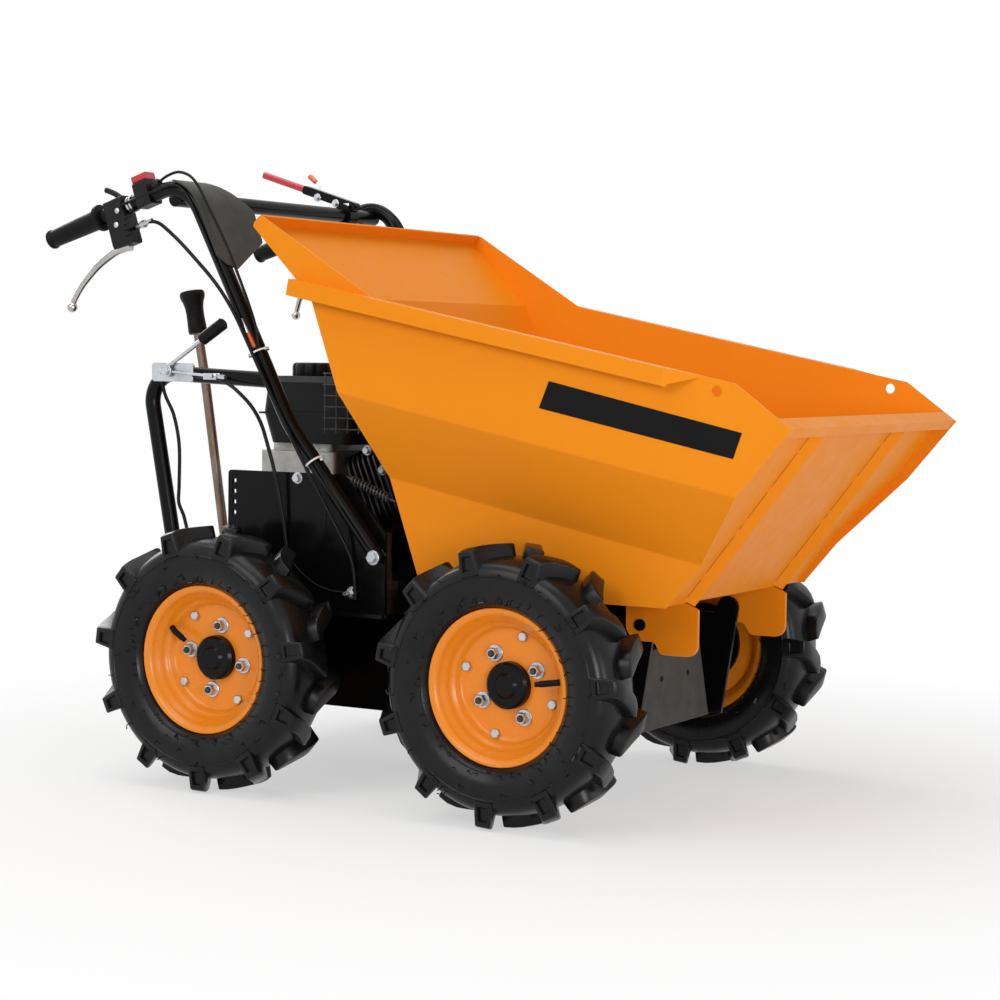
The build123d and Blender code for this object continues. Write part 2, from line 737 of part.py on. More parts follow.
# Axles: a round differential housing between two tubes that carry the wheel stubs
hub_face = WHEEL_Y + RIM_WIDTH / 2 - DISC_SETBACK - RIM_SHEET
axle_end = hub_face - HUB_FLANGE - HUB_GAP
for axle_name, axle_x in (("front_axle", FRONT_AXLE_X), ("rear_axle", REAR_AXLE_X)):
    with BuildPart() as axle:
        with BuildSketch(Plane(origin=(axle_x, 0, AXLE_Z), x_dir=(0, 1, 0), z_dir=(1, 0, 0))):
            with BuildLine():
                bore = STUB_RADIUS + PIN_PLAY
                bore_end = axle_end - STUB_DEPTH - HUB_GAP
                Polyline(
                    (0, 0),
                    (bore_end, 0),
                    (bore_end, bore),
                    (axle_end, bore),
                    (axle_end, AXLE_TUBE_RADIUS),
                    (AXLE_HOUSING_WIDTH / 2, AXLE_TUBE_RADIUS),
                    AXLE_HOUSING_SHOULDER,
                    AXLE_HOUSING_CROWN,
                    (0, AXLE_HOUSING_RADIUS),
                    close=True,
                )
            make_face()
        revolve(axis=Axis((axle_x, 0, AXLE_Z), (0, 1, 0)))
        mirror(about=Plane.XZ)
    save(axle, axle_name)

# Wheels
wheel_places = {
    "front_right": (FRONT_AXLE_X, -1),
    "front_left": (FRONT_AXLE_X, 1),
    "rear_right": (REAR_AXLE_X, -1),
    "rear_left": (REAR_AXLE_X, 1),
}
half_tyre = TYRE_WIDTH / 2
half_rim = RIM_WIDTH / 2
bead_radius = RIM_RADIUS - BEAD_DEPTH
bead_y = half_rim - RIM_SHEET
disc_y = half_rim - DISC_SETBACK
lug_pitch = 360 / LUGS_PER_SIDE


def tyre_ring(y, radius):
    """A many-sided ring outline across the wheel, at y from its middle."""
    with BuildSketch(side_plane(y)) as ring:
        RegularPolygon(radius, TYRE_FACETS, major_radius=False)
    return ring.sketch


def tread_lug(side):
    """One bar of the tread at the wheel's top, from the shoulder over the crown and past the middle."""
    half = LUG_WIDTH / 2
    lead = LUG_SWEEP / 2
    bow = lead * LUG_BOW
    with BuildPart() as lug:
        with BuildSketch(Plane.XY.offset(LUG_FOOT)):
            with BuildLine():
                Polyline(
                    (-lead - half, side * LUG_START),
                    (-lead + half, side * LUG_START),
                    (half - bow, side * LUG_MIDDLE),
                    (lead + half, -side * LUG_PAST_CENTRE),
                    (lead - half / 2, -side * LUG_PAST_CENTRE),
                    (-half - bow, side * LUG_MIDDLE),
                    close=True,
                )
            make_face()
        extrude(amount=TYRE_RADIUS - LUG_FOOT, taper=LUG_DRAFT)
        shoulder_slope = Vector(0, side * LUG_SHOULDER_DROP, LUG_START - LUG_FLAT)
        shoulder_cut = Plane(origin=(0, side * LUG_FLAT, TYRE_RADIUS), z_dir=shoulder_slope)
        split(bisect_by=shoulder_cut, keep=Keep.BOTTOM)
        with BuildSketch(side_plane(TYRE_WIDTH)):
            Circle(TYRE_RADIUS)
        extrude(amount=2 * TYRE_WIDTH, mode=Mode.INTERSECT)
    return lug.part


# The tyre's form, centred on the origin: a faceted carcass with two staggered rows of bars
with BuildPart() as tyre_form:
    tread_half = [(0, TREAD_ROOT), TREAD_BAND, SHOULDER_BAND, (half_tyre, SIDEWALL_RADIUS)]
    carcass = [tyre_ring(-y, radius) for y, radius in reversed(tread_half)]
    carcass += [tyre_ring(y, radius) for y, radius in tread_half[1:]]
    loft(carcass, ruled=True)
    dish = [(bead_y, RIM_RADIUS), SIDEWALL_BULGE, (half_tyre + WELD_GAP, SIDEWALL_FLAT)]
    for side in (-1, 1):
        loft([tyre_ring(side * y, radius) for y, radius in dish], ruled=True, mode=Mode.SUBTRACT)
    extrude(tyre_ring(half_tyre, bead_radius), amount=TYRE_WIDTH, mode=Mode.SUBTRACT)
    lugs = []
    for side, stagger in ((-1, 0), (1, 0.5)):
        lug_form = tread_lug(side)
        lugs += [lug_form.rotate(Axis.Y, (step + stagger) * lug_pitch) for step in range(LUGS_PER_SIDE)]
    add(lugs)

for wheel_name, (wheel_x, side) in wheel_places.items():
    spin = Axis((wheel_x, 0, AXLE_Z), (0, 1, 0))
    section = Plane(origin=(wheel_x, side * WHEEL_Y, AXLE_Z), x_dir=(0, side, 0), z_dir=(side, 0, 0))

    with BuildPart() as tyre:
        turned = tyre_form.part.rotate(Axis.Y, WHEEL_TURNS[wheel_name])
        add(turned.moved(Location((wheel_x, side * WHEEL_Y, AXLE_Z))))
    save(tyre, f"tyre_{wheel_name}")

    with BuildPart() as rim:
        with BuildSketch(section):
            with BuildLine():
                barrel = bead_radius - WELD_GAP
                Polyline(
                    (half_rim, RIM_RADIUS),
                    (half_rim, RIM_RADIUS - RIM_SHEET),
                    (half_rim - RIM_SHEET, barrel - RIM_SHEET),
                    (disc_y + RIM_SHEET, DISC_RADIUS),
                    (disc_y, DISC_RADIUS - RIM_SHEET),
                    (disc_y, HUB_RADIUS + WELD_GAP),
                    (disc_y - RIM_SHEET, HUB_RADIUS + WELD_GAP),
                    (disc_y - RIM_SHEET, DISC_RADIUS),
                    (-half_rim + RIM_SHEET, barrel - RIM_SHEET),
                    (-half_rim, RIM_RADIUS - RIM_SHEET),
                    (-half_rim, RIM_RADIUS),
                    (-half_rim + RIM_SHEET - WELD_GAP, RIM_RADIUS),
                    (-half_rim + RIM_SHEET - WELD_GAP, barrel),
                    (half_rim - RIM_SHEET + WELD_GAP, barrel),
                    (half_rim - RIM_SHEET + WELD_GAP, RIM_RADIUS),
                    close=True,
                )
            make_face()
        revolve(axis=spin)
    save(rim, f"rim_{wheel_name}")

    with BuildPart() as hub:
        with BuildSketch(section):
            with BuildLine():
                flange_y = disc_y - RIM_SHEET
                stub_end = flange_y - HUB_FLANGE - HUB_GAP - STUB_DEPTH
                Polyline(
                    (stub_end, 0),
                    (stub_end, STUB_RADIUS),
                    (flange_y - HUB_FLANGE, STUB_RADIUS),
                    (flange_y - HUB_FLANGE, HUB_FLANGE_RADIUS),
                    (flange_y, HUB_FLANGE_RADIUS),
                    (flange_y, HUB_RADIUS),
                    (disc_y + HUB_NOSE - RIM_SHEET, HUB_RADIUS),
                    (disc_y + HUB_NOSE, HUB_RADIUS - RIM_SHEET),
                    (disc_y + HUB_NOSE, STUB_RADIUS + RIM_SHEET),
                    (disc_y + HUB_NOSE + RIM_SHEET, STUB_RADIUS),
                    (disc_y + HUB_NOSE + RIM_SHEET, 0),
                    close=True,
                )
            make_face()
        revolve(axis=spin)
    save(hub, f"hub_{wheel_name}")

# Engine deck, the plate that carries the engine, its guards and the hoops
with BuildPart() as engine_deck:
    with BuildSketch(Plane.XY.offset(AXLE_Z + CHASSIS_TOP_RISE)) as deck:
        deck_rear = FRONT_AXLE_X + CHASSIS_REAR
        deck_front = FRONT_AXLE_X + DECK_FRONT
        with Locations(((deck_rear + deck_front) / 2, 0)):
            Rectangle(deck_front - deck_rear, 2 * DECK_HALF_WIDTH)
        fillet(deck.vertices(), radius=2 * PLATE)
    extrude(amount=PLATE)
save(engine_deck, "engine_deck")

# Guard plates each side of the engine, with a column of slots near the rear edge
guard_outer_y = HANDLE_FOOT_Y - TUBE_RADIUS - WELD_GAP
with BuildPart() as engine_guards:
    with BuildSketch(side_plane(guard_outer_y)) as guard:
        with BuildLine():
            Polyline(
                at((GUARD_PLATE_REAR, DECK_TOP_RISE)),
                at((GUARD_PLATE_FRONT, DECK_TOP_RISE)),
                at((GUARD_PLATE_FRONT, GUARD_NOTCH_RISE)),
                at((GUARD_NOTCH_X, GUARD_PLATE_RISE)),
                at((GUARD_PLATE_REAR, GUARD_PLATE_RISE)),
                close=True,
            )
        make_face()
        fillet(guard.vertices().group_by(Axis.Y)[-1], radius=PLATE)
        slot_x = GUARD_PLATE_REAR + GUARD_SLOT_EDGE
        with Locations(at((slot_x, GUARD_PLATE_RISE - GUARD_SLOT_DROP))):
            with GridLocations(0, GUARD_SLOT_PITCH, 1, 4):
                Circle(GUARD_SLOT_RADIUS, mode=Mode.SUBTRACT)
    extrude(amount=PLATE)
    mirror(about=Plane.XZ)
save(engine_guards, "engine_guards")

# Engine crankcase on its feet
deck_z = AXLE_Z + DECK_TOP_RISE
engine_x = FRONT_AXLE_X + ENGINE_X
with BuildPart() as engine_case:
    with Locations((engine_x, 0, deck_z + FOOT_HEIGHT / 2)):
        Box(FOOT_LENGTH, CASE_WIDTH, FOOT_HEIGHT)
    with Locations((engine_x, 0, deck_z + FOOT_HEIGHT + CASE_HEIGHT / 2)):
        Box(CASE_LENGTH, CASE_WIDTH, CASE_HEIGHT)
    upright = engine_case.edges().filter_by(Axis.Z).group_by(SortBy.LENGTH)[-1]
    fillet(upright, radius=CASE_ROUND)
save(engine_case, "engine_case")

# Finned cylinder, leaning up and forward from the crankcase
lean = math.radians(CYLINDER_TILT)
cylinder_axis = (math.cos(lean), 0, math.sin(lean))
cylinder_root = at_y((ENGINE_X + CASE_LENGTH / 2, CYLINDER_RISE), 0)
cylinder_plane = Plane(origin=cylinder_root, x_dir=(0, 1, 0), z_dir=cylinder_axis)
fin_stack = CYLINDER_FIN_COUNT * CYLINDER_FIN_PITCH
with BuildPart() as engine_cylinder:
    with BuildSketch(cylinder_plane.offset(-CYLINDER_ROOT)):
        RectangleRounded(CYLINDER_CORE, CYLINDER_CORE, CASE_ROUND)
    extrude(amount=CYLINDER_ROOT + fin_stack)
    split(bisect_by=Plane(origin=cylinder_root, x_dir=(0, 1, 0), z_dir=(1, 0, 0)), keep=Keep.TOP)
    first_fin = CYLINDER_FIN / 2 * math.tan(lean) + CYLINDER_FIN_GAP
    for fin in range(CYLINDER_FIN_COUNT):
        fin_start = first_fin + fin * CYLINDER_FIN_PITCH
        with BuildSketch(cylinder_plane.offset(fin_start)):
            RectangleRounded(CYLINDER_FIN, CYLINDER_FIN, 2 * CASE_ROUND)
        extrude(amount=CYLINDER_FIN_SHEET)
    with BuildSketch(cylinder_plane.offset(fin_stack)):
        RectangleRounded(CYLINDER_CORE, CYLINDER_CORE, CASE_ROUND)
    extrude(amount=HEAD_LENGTH + first_fin)
save(engine_cylinder, "engine_cylinder")

# Fuel tank: two pressed halves with a seam lip
tank_x = FRONT_AXLE_X + TANK_CENTRE_X
with BuildPart() as fuel_tank:
    seam_plane = Plane.XY.offset(AXLE_Z + TANK_SEAM_RISE)
    top_plane = Plane.XY.offset(AXLE_Z + TANK_TOP_RISE)
    foot_plane = Plane.XY.offset(AXLE_Z + TANK_RISE)
    with BuildSketch(seam_plane):
        with Locations((tank_x, 0)):
            RectangleRounded(TANK_LENGTH, TANK_WIDTH, TANK_ROUND)
    with BuildSketch(top_plane):
        with Locations((tank_x, 0)):
            RectangleRounded(TANK_LENGTH - TANK_TAPER, TANK_WIDTH - TANK_TAPER, TANK_ROUND)
    loft()
    with BuildSketch(foot_plane):
        with Locations((tank_x, 0)):
            RectangleRounded(TANK_LENGTH - 2 * TANK_TAPER, TANK_WIDTH - 2 * TANK_TAPER, TANK_ROUND)
    with BuildSketch(seam_plane):
        with Locations((tank_x, 0)):
            RectangleRounded(TANK_LENGTH, TANK_WIDTH, TANK_ROUND)
    loft()
    chamfer(fuel_tank.faces().sort_by(Axis.Z)[-1].edges(), length=TANK_TAPER)
    with BuildSketch(seam_plane):
        with Locations((tank_x, 0)):
            RectangleRounded(TANK_LENGTH + 2 * TANK_SEAM_LIP, TANK_WIDTH + 2 * TANK_SEAM_LIP, TANK_ROUND)
    extrude(amount=TANK_SEAM_SHEET / 2, both=True)
save(fuel_tank, "fuel_tank")

with BuildPart() as fuel_cap:
    with BuildSketch(Plane.XY.offset(AXLE_Z + TANK_TOP_RISE)):
        with Locations((FRONT_AXLE_X + CAP_X, CAP_Y)):
            Circle(CAP_RADIUS)
    extrude(amount=CAP_HEIGHT)
    chamfer(fuel_cap.edges().group_by(Axis.Z)[-1], length=PLATE / 2)
save(fuel_cap, "fuel_cap")

# Brackets that carry the tank on the crankcase
with BuildPart() as tank_stand:
    stand_foot = deck_z + FOOT_HEIGHT + CASE_HEIGHT
    stand_top = AXLE_Z + TANK_RISE
    with BuildSketch(Plane.XY.offset(stand_foot)):
        with Locations((engine_x, 0)):
            RectangleRounded(CASE_LENGTH - 2 * CASE_ROUND, CASE_WIDTH - 2 * CASE_ROUND, CASE_ROUND)
    extrude(amount=stand_top - stand_foot)
save(tank_stand, "tank_stand")

# Silencer and air cleaner side by side over the cylinder head, ahead of the tank
cover_x = tank_x + TANK_LENGTH / 2 + TANK_SEAM_LIP + MUFFLER_GAP + MUFFLER_LENGTH / 2
cover_z = AXLE_Z + TANK_TOP_RISE - MUFFLER_HEIGHT / 2
cover_foot = cover_z - MUFFLER_HEIGHT / 2
cover_y = (MUFFLER_WIDTH + AIR_BOX_GAP) / 2


def port_stub(y):
    """The short pipe from a cover down to the cylinder head."""
    with BuildPart() as stub:
        with BuildSketch(Plane.XY.offset(cover_foot)):
            with Locations((cover_x, y)):
                Circle(PORT_RADIUS)
        extrude(amount=-PORT_DROP)
        add(engine_cylinder.part, mode=Mode.SUBTRACT)
    return stub.solids().sort_by(Axis.Z)[-1]


with BuildPart() as muffler:
    with Locations((cover_x, -cover_y, cover_z)):
        Box(MUFFLER_LENGTH, MUFFLER_WIDTH, MUFFLER_HEIGHT)
    fillet(muffler.edges().filter_by(Axis.Y), radius=CASE_ROUND)
    add(port_stub(-PORT_Y))
save(muffler, "muffler")

with BuildPart() as air_cleaner:
    with Locations((cover_x, cover_y, cover_z)):
        Box(MUFFLER_LENGTH, MUFFLER_WIDTH, MUFFLER_HEIGHT)
    fillet(air_cleaner.edges().filter_by(Axis.Z), radius=CASE_ROUND)
    chamfer(air_cleaner.faces().sort_by(Axis.Z)[-1].edges(), length=PLATE)
    add(port_stub(PORT_Y))
save(air_cleaner, "air_cleaner")

# Recoil starter on the engine's left end
with BuildPart() as recoil_cover:
    recoil_z = deck_z + FOOT_HEIGHT + RECOIL_RADIUS
    with BuildSketch(side_plane(CASE_WIDTH / 2 + RECOIL_DEPTH)):
        with Locations((engine_x, recoil_z)):
            Circle(RECOIL_RADIUS)
    extrude(amount=RECOIL_DEPTH)
    chamfer(recoil_cover.edges().group_by(Axis.Y)[-1], length=CASE_ROUND)
save(recoil_cover, "recoil_cover")

# Gearbox cover behind the engine, and the gear lever that comes up through it
with BuildPart() as gearbox:
    gearbox_x = FRONT_AXLE_X + CHASSIS_REAR + GEARBOX_LENGTH / 2
    with Locations((gearbox_x, GEAR_Y / 2, deck_z + GEARBOX_HEIGHT / 2)):
        Box(GEARBOX_LENGTH, GEARBOX_WIDTH, GEARBOX_HEIGHT)
    fillet(gearbox.edges().filter_by(Axis.Z), radius=CASE_ROUND)
    chamfer(gearbox.faces().sort_by(Axis.Z)[-1].edges(), length=PLATE)
save(gearbox, "gearbox")

gearbox_top = DECK_TOP_RISE + GEARBOX_HEIGHT
gear_foot = at_y((GEAR_FOOT_X, gearbox_top - 2 * GEAR_ROD_RADIUS), GEAR_Y)
gear_knee = at_y(GEAR_KNEE, GEAR_Y)
gear_top = at_y(GEAR_TOP, GEAR_Y)
with BuildPart() as gear_lever:
    add(bent_rod([gear_foot, gear_knee, gear_top], [KINK_BEND], GEAR_ROD_RADIUS))
    split(bisect_by=Plane.XY.offset(AXLE_Z + gearbox_top), keep=Keep.TOP)
save(gear_lever, "gear_lever")

knob_axis = (Vector(gear_top) - Vector(gear_knee)).normalized()
with BuildPart() as gear_knob:
    knob_plane = Plane(origin=Vector(gear_top) - knob_axis * KNOB_LENGTH, x_dir=(0, 1, 0), z_dir=knob_axis)
    with BuildSketch(Plane(origin=knob_plane.origin, x_dir=(0, 1, 0), z_dir=knob_plane.y_dir * -1)):
        with BuildLine():
            knob_waist = KNOB_LENGTH / 3
            knob_shoulder = KNOB_LENGTH * 2 / 3
            knob_brim = KNOB_LENGTH - KNOB_RADIUS / 2
            Polyline(
                (GEAR_ROD_RADIUS, 0),
                (KNOB_FOOT, 0),
                (KNOB_NECK, knob_waist),
                (KNOB_FOOT, knob_shoulder),
                (KNOB_RADIUS, knob_brim),
                (KNOB_RADIUS, KNOB_LENGTH - PLATE / 2),
                (KNOB_RADIUS - PLATE / 2, KNOB_LENGTH),
                (KNOB_MOUTH, KNOB_LENGTH),
                (GEAR_ROD_RADIUS, knob_brim),
                close=True,
            )
        make_face()
    revolve(axis=Axis(knob_plane.origin, knob_axis))
save(gear_knob, "gear_knob")

# Handlebar: two bent side tubes, splayed towards the top, and a cross bar between their bends
grip_fall = math.radians(GRIP_SLOPE)
grip_end_x = GRIP_RADIUS * math.sin(grip_fall) - GRIP_TAIL
grip_end = (grip_end_x, HANDLE_CORNER[1] - (HANDLE_CORNER[0] - grip_end_x) * math.tan(grip_fall))
handle_path = [
    at_y(HANDLE_FOOT, HANDLE_FOOT_Y),
    at_y(HANDLE_KINK, HANDLE_KINK_Y),
    at_y(HANDLE_CORNER, HANDLE_TOP_Y),
    at_y(grip_end, HANDLE_TOP_Y),
]
grip_axis = (Vector(handle_path[3]) - Vector(handle_path[2])).normalized()
tube_end = Vector(handle_path[3]) - grip_axis * PLATE
handle_bends = [KINK_BEND, CORNER_BEND]
with BuildPart() as handle_left:
    add(bent_rod(handle_path[:3] + [tube_end], handle_bends, TUBE_RADIUS))
save(handle_left, "handle_left")

with BuildPart() as handle_right:
    mirror(handle_left.part, about=Plane.XZ)
save(handle_right, "handle_right")

handle_clearance = bent_rod(handle_path[:3] + [tube_end], handle_bends, TUBE_RADIUS + WELD_GAP)
bar_centre = Vector(handle_path[2]) + grip_axis * CROSS_BAR_BACK
bar_z = bar_centre.Z - CROSS_BAR_DROP
with BuildPart() as handle_cross_bar:
    with BuildSketch(side_plane(HANDLE_TOP_Y)):
        with Locations((bar_centre.X, bar_z)):
            Circle(TUBE_RADIUS)
    extrude(amount=2 * HANDLE_TOP_Y)
    add(handle_clearance, mode=Mode.SUBTRACT)
    add(handle_clearance.mirror(Plane.XZ), mode=Mode.SUBTRACT)
    for scrap in handle_cross_bar.solids().sort_by(SortBy.VOLUME)[:-1]:
        add(scrap, mode=Mode.SUBTRACT)
save(handle_cross_bar, "handle_cross_bar")

# Rubber grips
with BuildPart() as grips:
    grip_side = Plane(origin=handle_path[3], x_dir=(0, 1, 0), z_dir=Vector(0, 1, 0).cross(-grip_axis))
    with BuildSketch(grip_side):
        with BuildLine():
            Polyline(
                (0, 0),
                (GRIP_RADIUS, 0),
                (GRIP_RADIUS, GRIP_FLANGE),
                (GRIP_WAIST, GRIP_FLANGE + PLATE / 2),
                (GRIP_RADIUS, GRIP_LENGTH - PLATE / 2),
                (GRIP_COLLAR, GRIP_LENGTH),
                (GRIP_COLLAR, GRIP_LENGTH + GRIP_COLLAR_WIDTH),
                (TUBE_RADIUS, GRIP_LENGTH + GRIP_COLLAR_WIDTH),
                (TUBE_RADIUS, PLATE),
                (0, PLATE),
                close=True,
            )
        make_face()
    revolve(axis=Axis(handle_path[3], -grip_axis))
    mirror(about=Plane.XZ)
save(grips, "grips")

# Rear hoops: from the deck up behind the wheels, then forward to the handlebar tubes
handle_rise = HOOP_CORNER[1] - HANDLE_KINK[1]
handle_slope = (HANDLE_CORNER[0] - HANDLE_KINK[0]) / (HANDLE_CORNER[1] - HANDLE_KINK[1])
hoop_joint = (HANDLE_KINK[0] + handle_slope * handle_rise, HOOP_CORNER[1] - HOOP_FALL)
hoop_path = [
    at_y((HOOP_FOOT_X, DECK_TOP_RISE), HOOP_Y),
    at_y(HOOP_CORNER, HOOP_Y),
    at_y(hoop_joint, HOOP_Y),
]
with BuildPart() as rear_hoop_left:
    add(bent_rod(hoop_path, [HOOP_BEND], TUBE_RADIUS))
    split(bisect_by=Plane.XY.offset(deck_z), keep=Keep.TOP)
    add(handle_clearance, mode=Mode.SUBTRACT)
    for scrap in rear_hoop_left.solids().sort_by(SortBy.VOLUME)[:-1]:
        add(scrap, mode=Mode.SUBTRACT)
save(rear_hoop_left, "rear_hoop_left")

with BuildPart() as rear_hoop_right:
    mirror(rear_hoop_left.part, about=Plane.XZ)
save(rear_hoop_right, "rear_hoop_right")


def grip_frame(back, side):
    """Section across a handlebar tube, back from its bend: X to the left, Y up, looking forward."""
    centre = Vector(handle_path[2]) + grip_axis * back
    return Plane(origin=(centre.X, side * centre.Y, centre.Z), x_dir=(0, 1, 0), z_dir=-grip_axis)


def clamp_section(back, side, width, above, below):
    """A rounded block's section round a handlebar tube, with the tube's hole in it."""
    with BuildSketch(grip_frame(back, side)) as section:
        with Locations((0, (above - below) / 2)):
            RectangleRounded(width, above + below, CLAMP_ROUND)
        Circle(TUBE_RADIUS + WELD_GAP, mode=Mode.SUBTRACT)
    return section.sketch


# Lever perches clamped on the tubes, and the hand levers that hang from them
with BuildPart() as lever_perches:
    extrude(
        clamp_section(PERCH_BACK, 1, PERCH_WIDTH, PERCH_ABOVE, PERCH_BELOW),
        amount=PERCH_LENGTH / 2,
        both=True,
    )
    mirror(about=Plane.XZ)
save(lever_perches, "lever_perches")

perch_frame = grip_frame(PERCH_BACK, 1)
lever_root_drop = PERCH_BELOW + LEVER_RADIUS + WELD_GAP
lever_path = [
    perch_frame.from_local_coords((0, -lever_root_drop, PERCH_LENGTH / 2)),
    perch_frame.from_local_coords((LEVER_KNEE_OUT, -lever_root_drop, -LEVER_KNEE_BACK)),
    Vector(at_y(LEVER_TIP, LEVER_TIP_Y)),
]
with BuildPart() as hand_levers:
    add(bent_rod(lever_path, [LEVER_BEND], LEVER_RADIUS))
    with Locations(Plane(origin=lever_path[2], z_dir=lever_path[2] - lever_path[1])):
        Sphere(LEVER_BALL)
    mirror(about=Plane.XZ)
save(hand_levers, "hand_levers")

# Stop switch on the right tube
with BuildPart() as switch_box:
    extrude(
        clamp_section(SWITCH_BACK, -1, SWITCH_WIDTH, SWITCH_ABOVE, SWITCH_BELOW),
        amount=SWITCH_LENGTH / 2,
        both=True,
    )
save(switch_box, "switch_box")

with BuildPart() as stop_switch:
    switch_frame = grip_frame(SWITCH_BACK, -1)
    with BuildSketch(switch_frame):
        with Locations((0, SWITCH_ABOVE + BUTTON_HEIGHT / 2)):
            RectangleRounded(SWITCH_WIDTH - CLAMP_ROUND, BUTTON_HEIGHT, BUTTON_ROUND)
    extrude(amount=BUTTON_LENGTH / 2, both=True)
save(stop_switch, "stop_switch")

# Tipping release lever on the cross bar: a clamp, a flat body and a dipped grip
tip_frame = Plane(
    origin=(bar_centre.X, TIP_LEVER_Y, bar_z),
    x_dir=(math.cos(math.radians(TIP_LEVER_TILT)), 0, -math.sin(math.radians(TIP_LEVER_TILT))),
    z_dir=(0, -1, 0),
)
body_rise = TUBE_RADIUS + TIP_LEVER_SECTION / 2 + WELD_GAP
with BuildPart() as tip_lever:
    with BuildSketch(tip_frame.offset(-TIP_CLAMP_WIDTH / 2)):
        Circle(TIP_CLAMP_RADIUS)
        with Locations((0, body_rise / 2)):
            Rectangle(TIP_CLAMP_RADIUS, body_rise)
        Circle(TUBE_RADIUS + WELD_GAP, mode=Mode.SUBTRACT)
    extrude(amount=TIP_CLAMP_WIDTH)
    with BuildSketch(tip_frame.offset(-TIP_LEVER_SECTION / 2)):
        with Locations((TIP_CLAMP_RADIUS - TIP_BODY_LENGTH / 2, body_rise)):
            RectangleRounded(TIP_BODY_LENGTH, TIP_LEVER_SECTION, TIP_LEVER_ROUND)
    extrude(amount=TIP_LEVER_SECTION)
save(tip_lever, "tip_lever")

with BuildPart() as tip_lever_grip:
    grip_start = tip_frame.from_local_coords((TIP_CLAMP_RADIUS - TIP_BODY_LENGTH, body_rise, 0))
    lever_rearward = tip_frame.x_dir * -1
    with BuildSketch(Plane(origin=grip_start, x_dir=(0, 1, 0), z_dir=lever_rearward)):
        RectangleRounded(TIP_LEVER_SECTION, TIP_GRIP_HEIGHT, TIP_LEVER_ROUND)
    extrude(amount=TIP_GRIP_LENGTH)
    chamfer(tip_lever_grip.faces().sort_by(Axis.X)[0].edges(), length=TIP_GRIP_ROUND)
save(tip_lever_grip, "tip_lever_grip")

# Shroud plate on the right handlebar tube, below the bend
tube_run = Vector(handle_path[2]) - Vector(handle_path[1])
tube_up = Vector(tube_run.X, 0, tube_run.Z).normalized()
tube_front = Vector(tube_up.Z, 0, -tube_up.X)
shroud_back = TUBE_RADIUS + WELD_GAP
shroud_front = shroud_back + SHROUD_SHEET


def shroud_line(out):
    """The sheet's face in side view: down the tube's front, and back over the bend."""
    corner = Vector(*offset_corner(HANDLE_KINK, HANDLE_CORNER, grip_end, -out))
    rise = Vector(tube_up.X, tube_up.Z)
    back = Vector(grip_axis.X, grip_axis.Z)
    points = [corner - rise * (SHROUD_DROP + out), corner, corner + back * (CORNER_BEND + out)]
    return FilletPolyline(*[at((point.X, point.Y)) for point in points], radius=CORNER_BEND + out)


shroud_plane = Plane(
    origin=(handle_path[2][0], -handle_path[2][1], handle_path[2][2]),
    x_dir=(0, 1, 0),
    z_dir=tube_front,
)
with BuildPart() as handle_shroud:
    with BuildSketch(side_plane(SHROUD_OUT - HANDLE_TOP_Y + SHROUD_WIDTH)):
        with BuildLine():
            back_face = shroud_line(shroud_back)
            front_face = shroud_line(shroud_front)
            Line(back_face @ 0, front_face @ 0)
            Line(back_face @ 1, front_face @ 1)
        make_face()
    extrude(amount=SHROUD_WIDTH + 2 * SHROUD_OUT)
    with BuildSketch(shroud_plane) as shroud:
        with BuildLine():
            Polyline(
                (-SHROUD_OUT, SHROUD_OVER),
                (SHROUD_TOP_WIDTH, SHROUD_OVER),
                (SHROUD_SHOULDER[0], -SHROUD_SHOULDER[1]),
                (SHROUD_WIDTH, -SHROUD_SIDE[0]),
                (SHROUD_WIDTH - SHROUD_OVER, -SHROUD_SIDE[1]),
                (SHROUD_TOE, -SHROUD_DROP),
                (0, -SHROUD_DROP + SHROUD_OVER),
                (-SHROUD_OUT, -SHROUD_HEEL),
                close=True,
            )
        make_face()
        fillet(shroud.vertices(), radius=PLATE)
    extrude(amount=2 * CORNER_BEND, both=True, mode=Mode.INTERSECT)
save(handle_shroud, "handle_shroud")

# Parking lock on the right hoop: a plate on the tube and a rod lever with a rubber grip
lock_y = -(HOOP_Y + TUBE_RADIUS + WELD_GAP)
lock_pivot = (HOOP_CORNER[0] + LOCK_PLATE_LENGTH / 2, HOOP_CORNER[1])
with BuildPart() as lock_plate:
    with BuildSketch(side_plane(lock_y)):
        with Locations(at((HOOP_CORNER[0] + LOCK_PLATE_AHEAD, HOOP_CORNER[1]))):
            RectangleRounded(LOCK_PLATE_LENGTH, LOCK_PLATE_HEIGHT, PLATE)
    extrude(amount=LOCK_PLATE_SHEET)
save(lock_plate, "lock_plate")

lock_rod_y = lock_y - LOCK_PLATE_SHEET - LOCK_ROD_RADIUS - WELD_GAP
lock_run = Vector(math.cos(math.radians(LOCK_LEVER_TILT)), 0, math.sin(math.radians(LOCK_LEVER_TILT)))
lock_start = Vector(at_y(lock_pivot, lock_rod_y))
with BuildPart() as lock_lever:
    with BuildSketch(Plane(origin=lock_start, z_dir=lock_run)):
        Circle(LOCK_ROD_RADIUS)
    extrude(amount=LOCK_LEVER_LENGTH - LOCK_GRIP_LENGTH / 2)
save(lock_lever, "lock_lever")

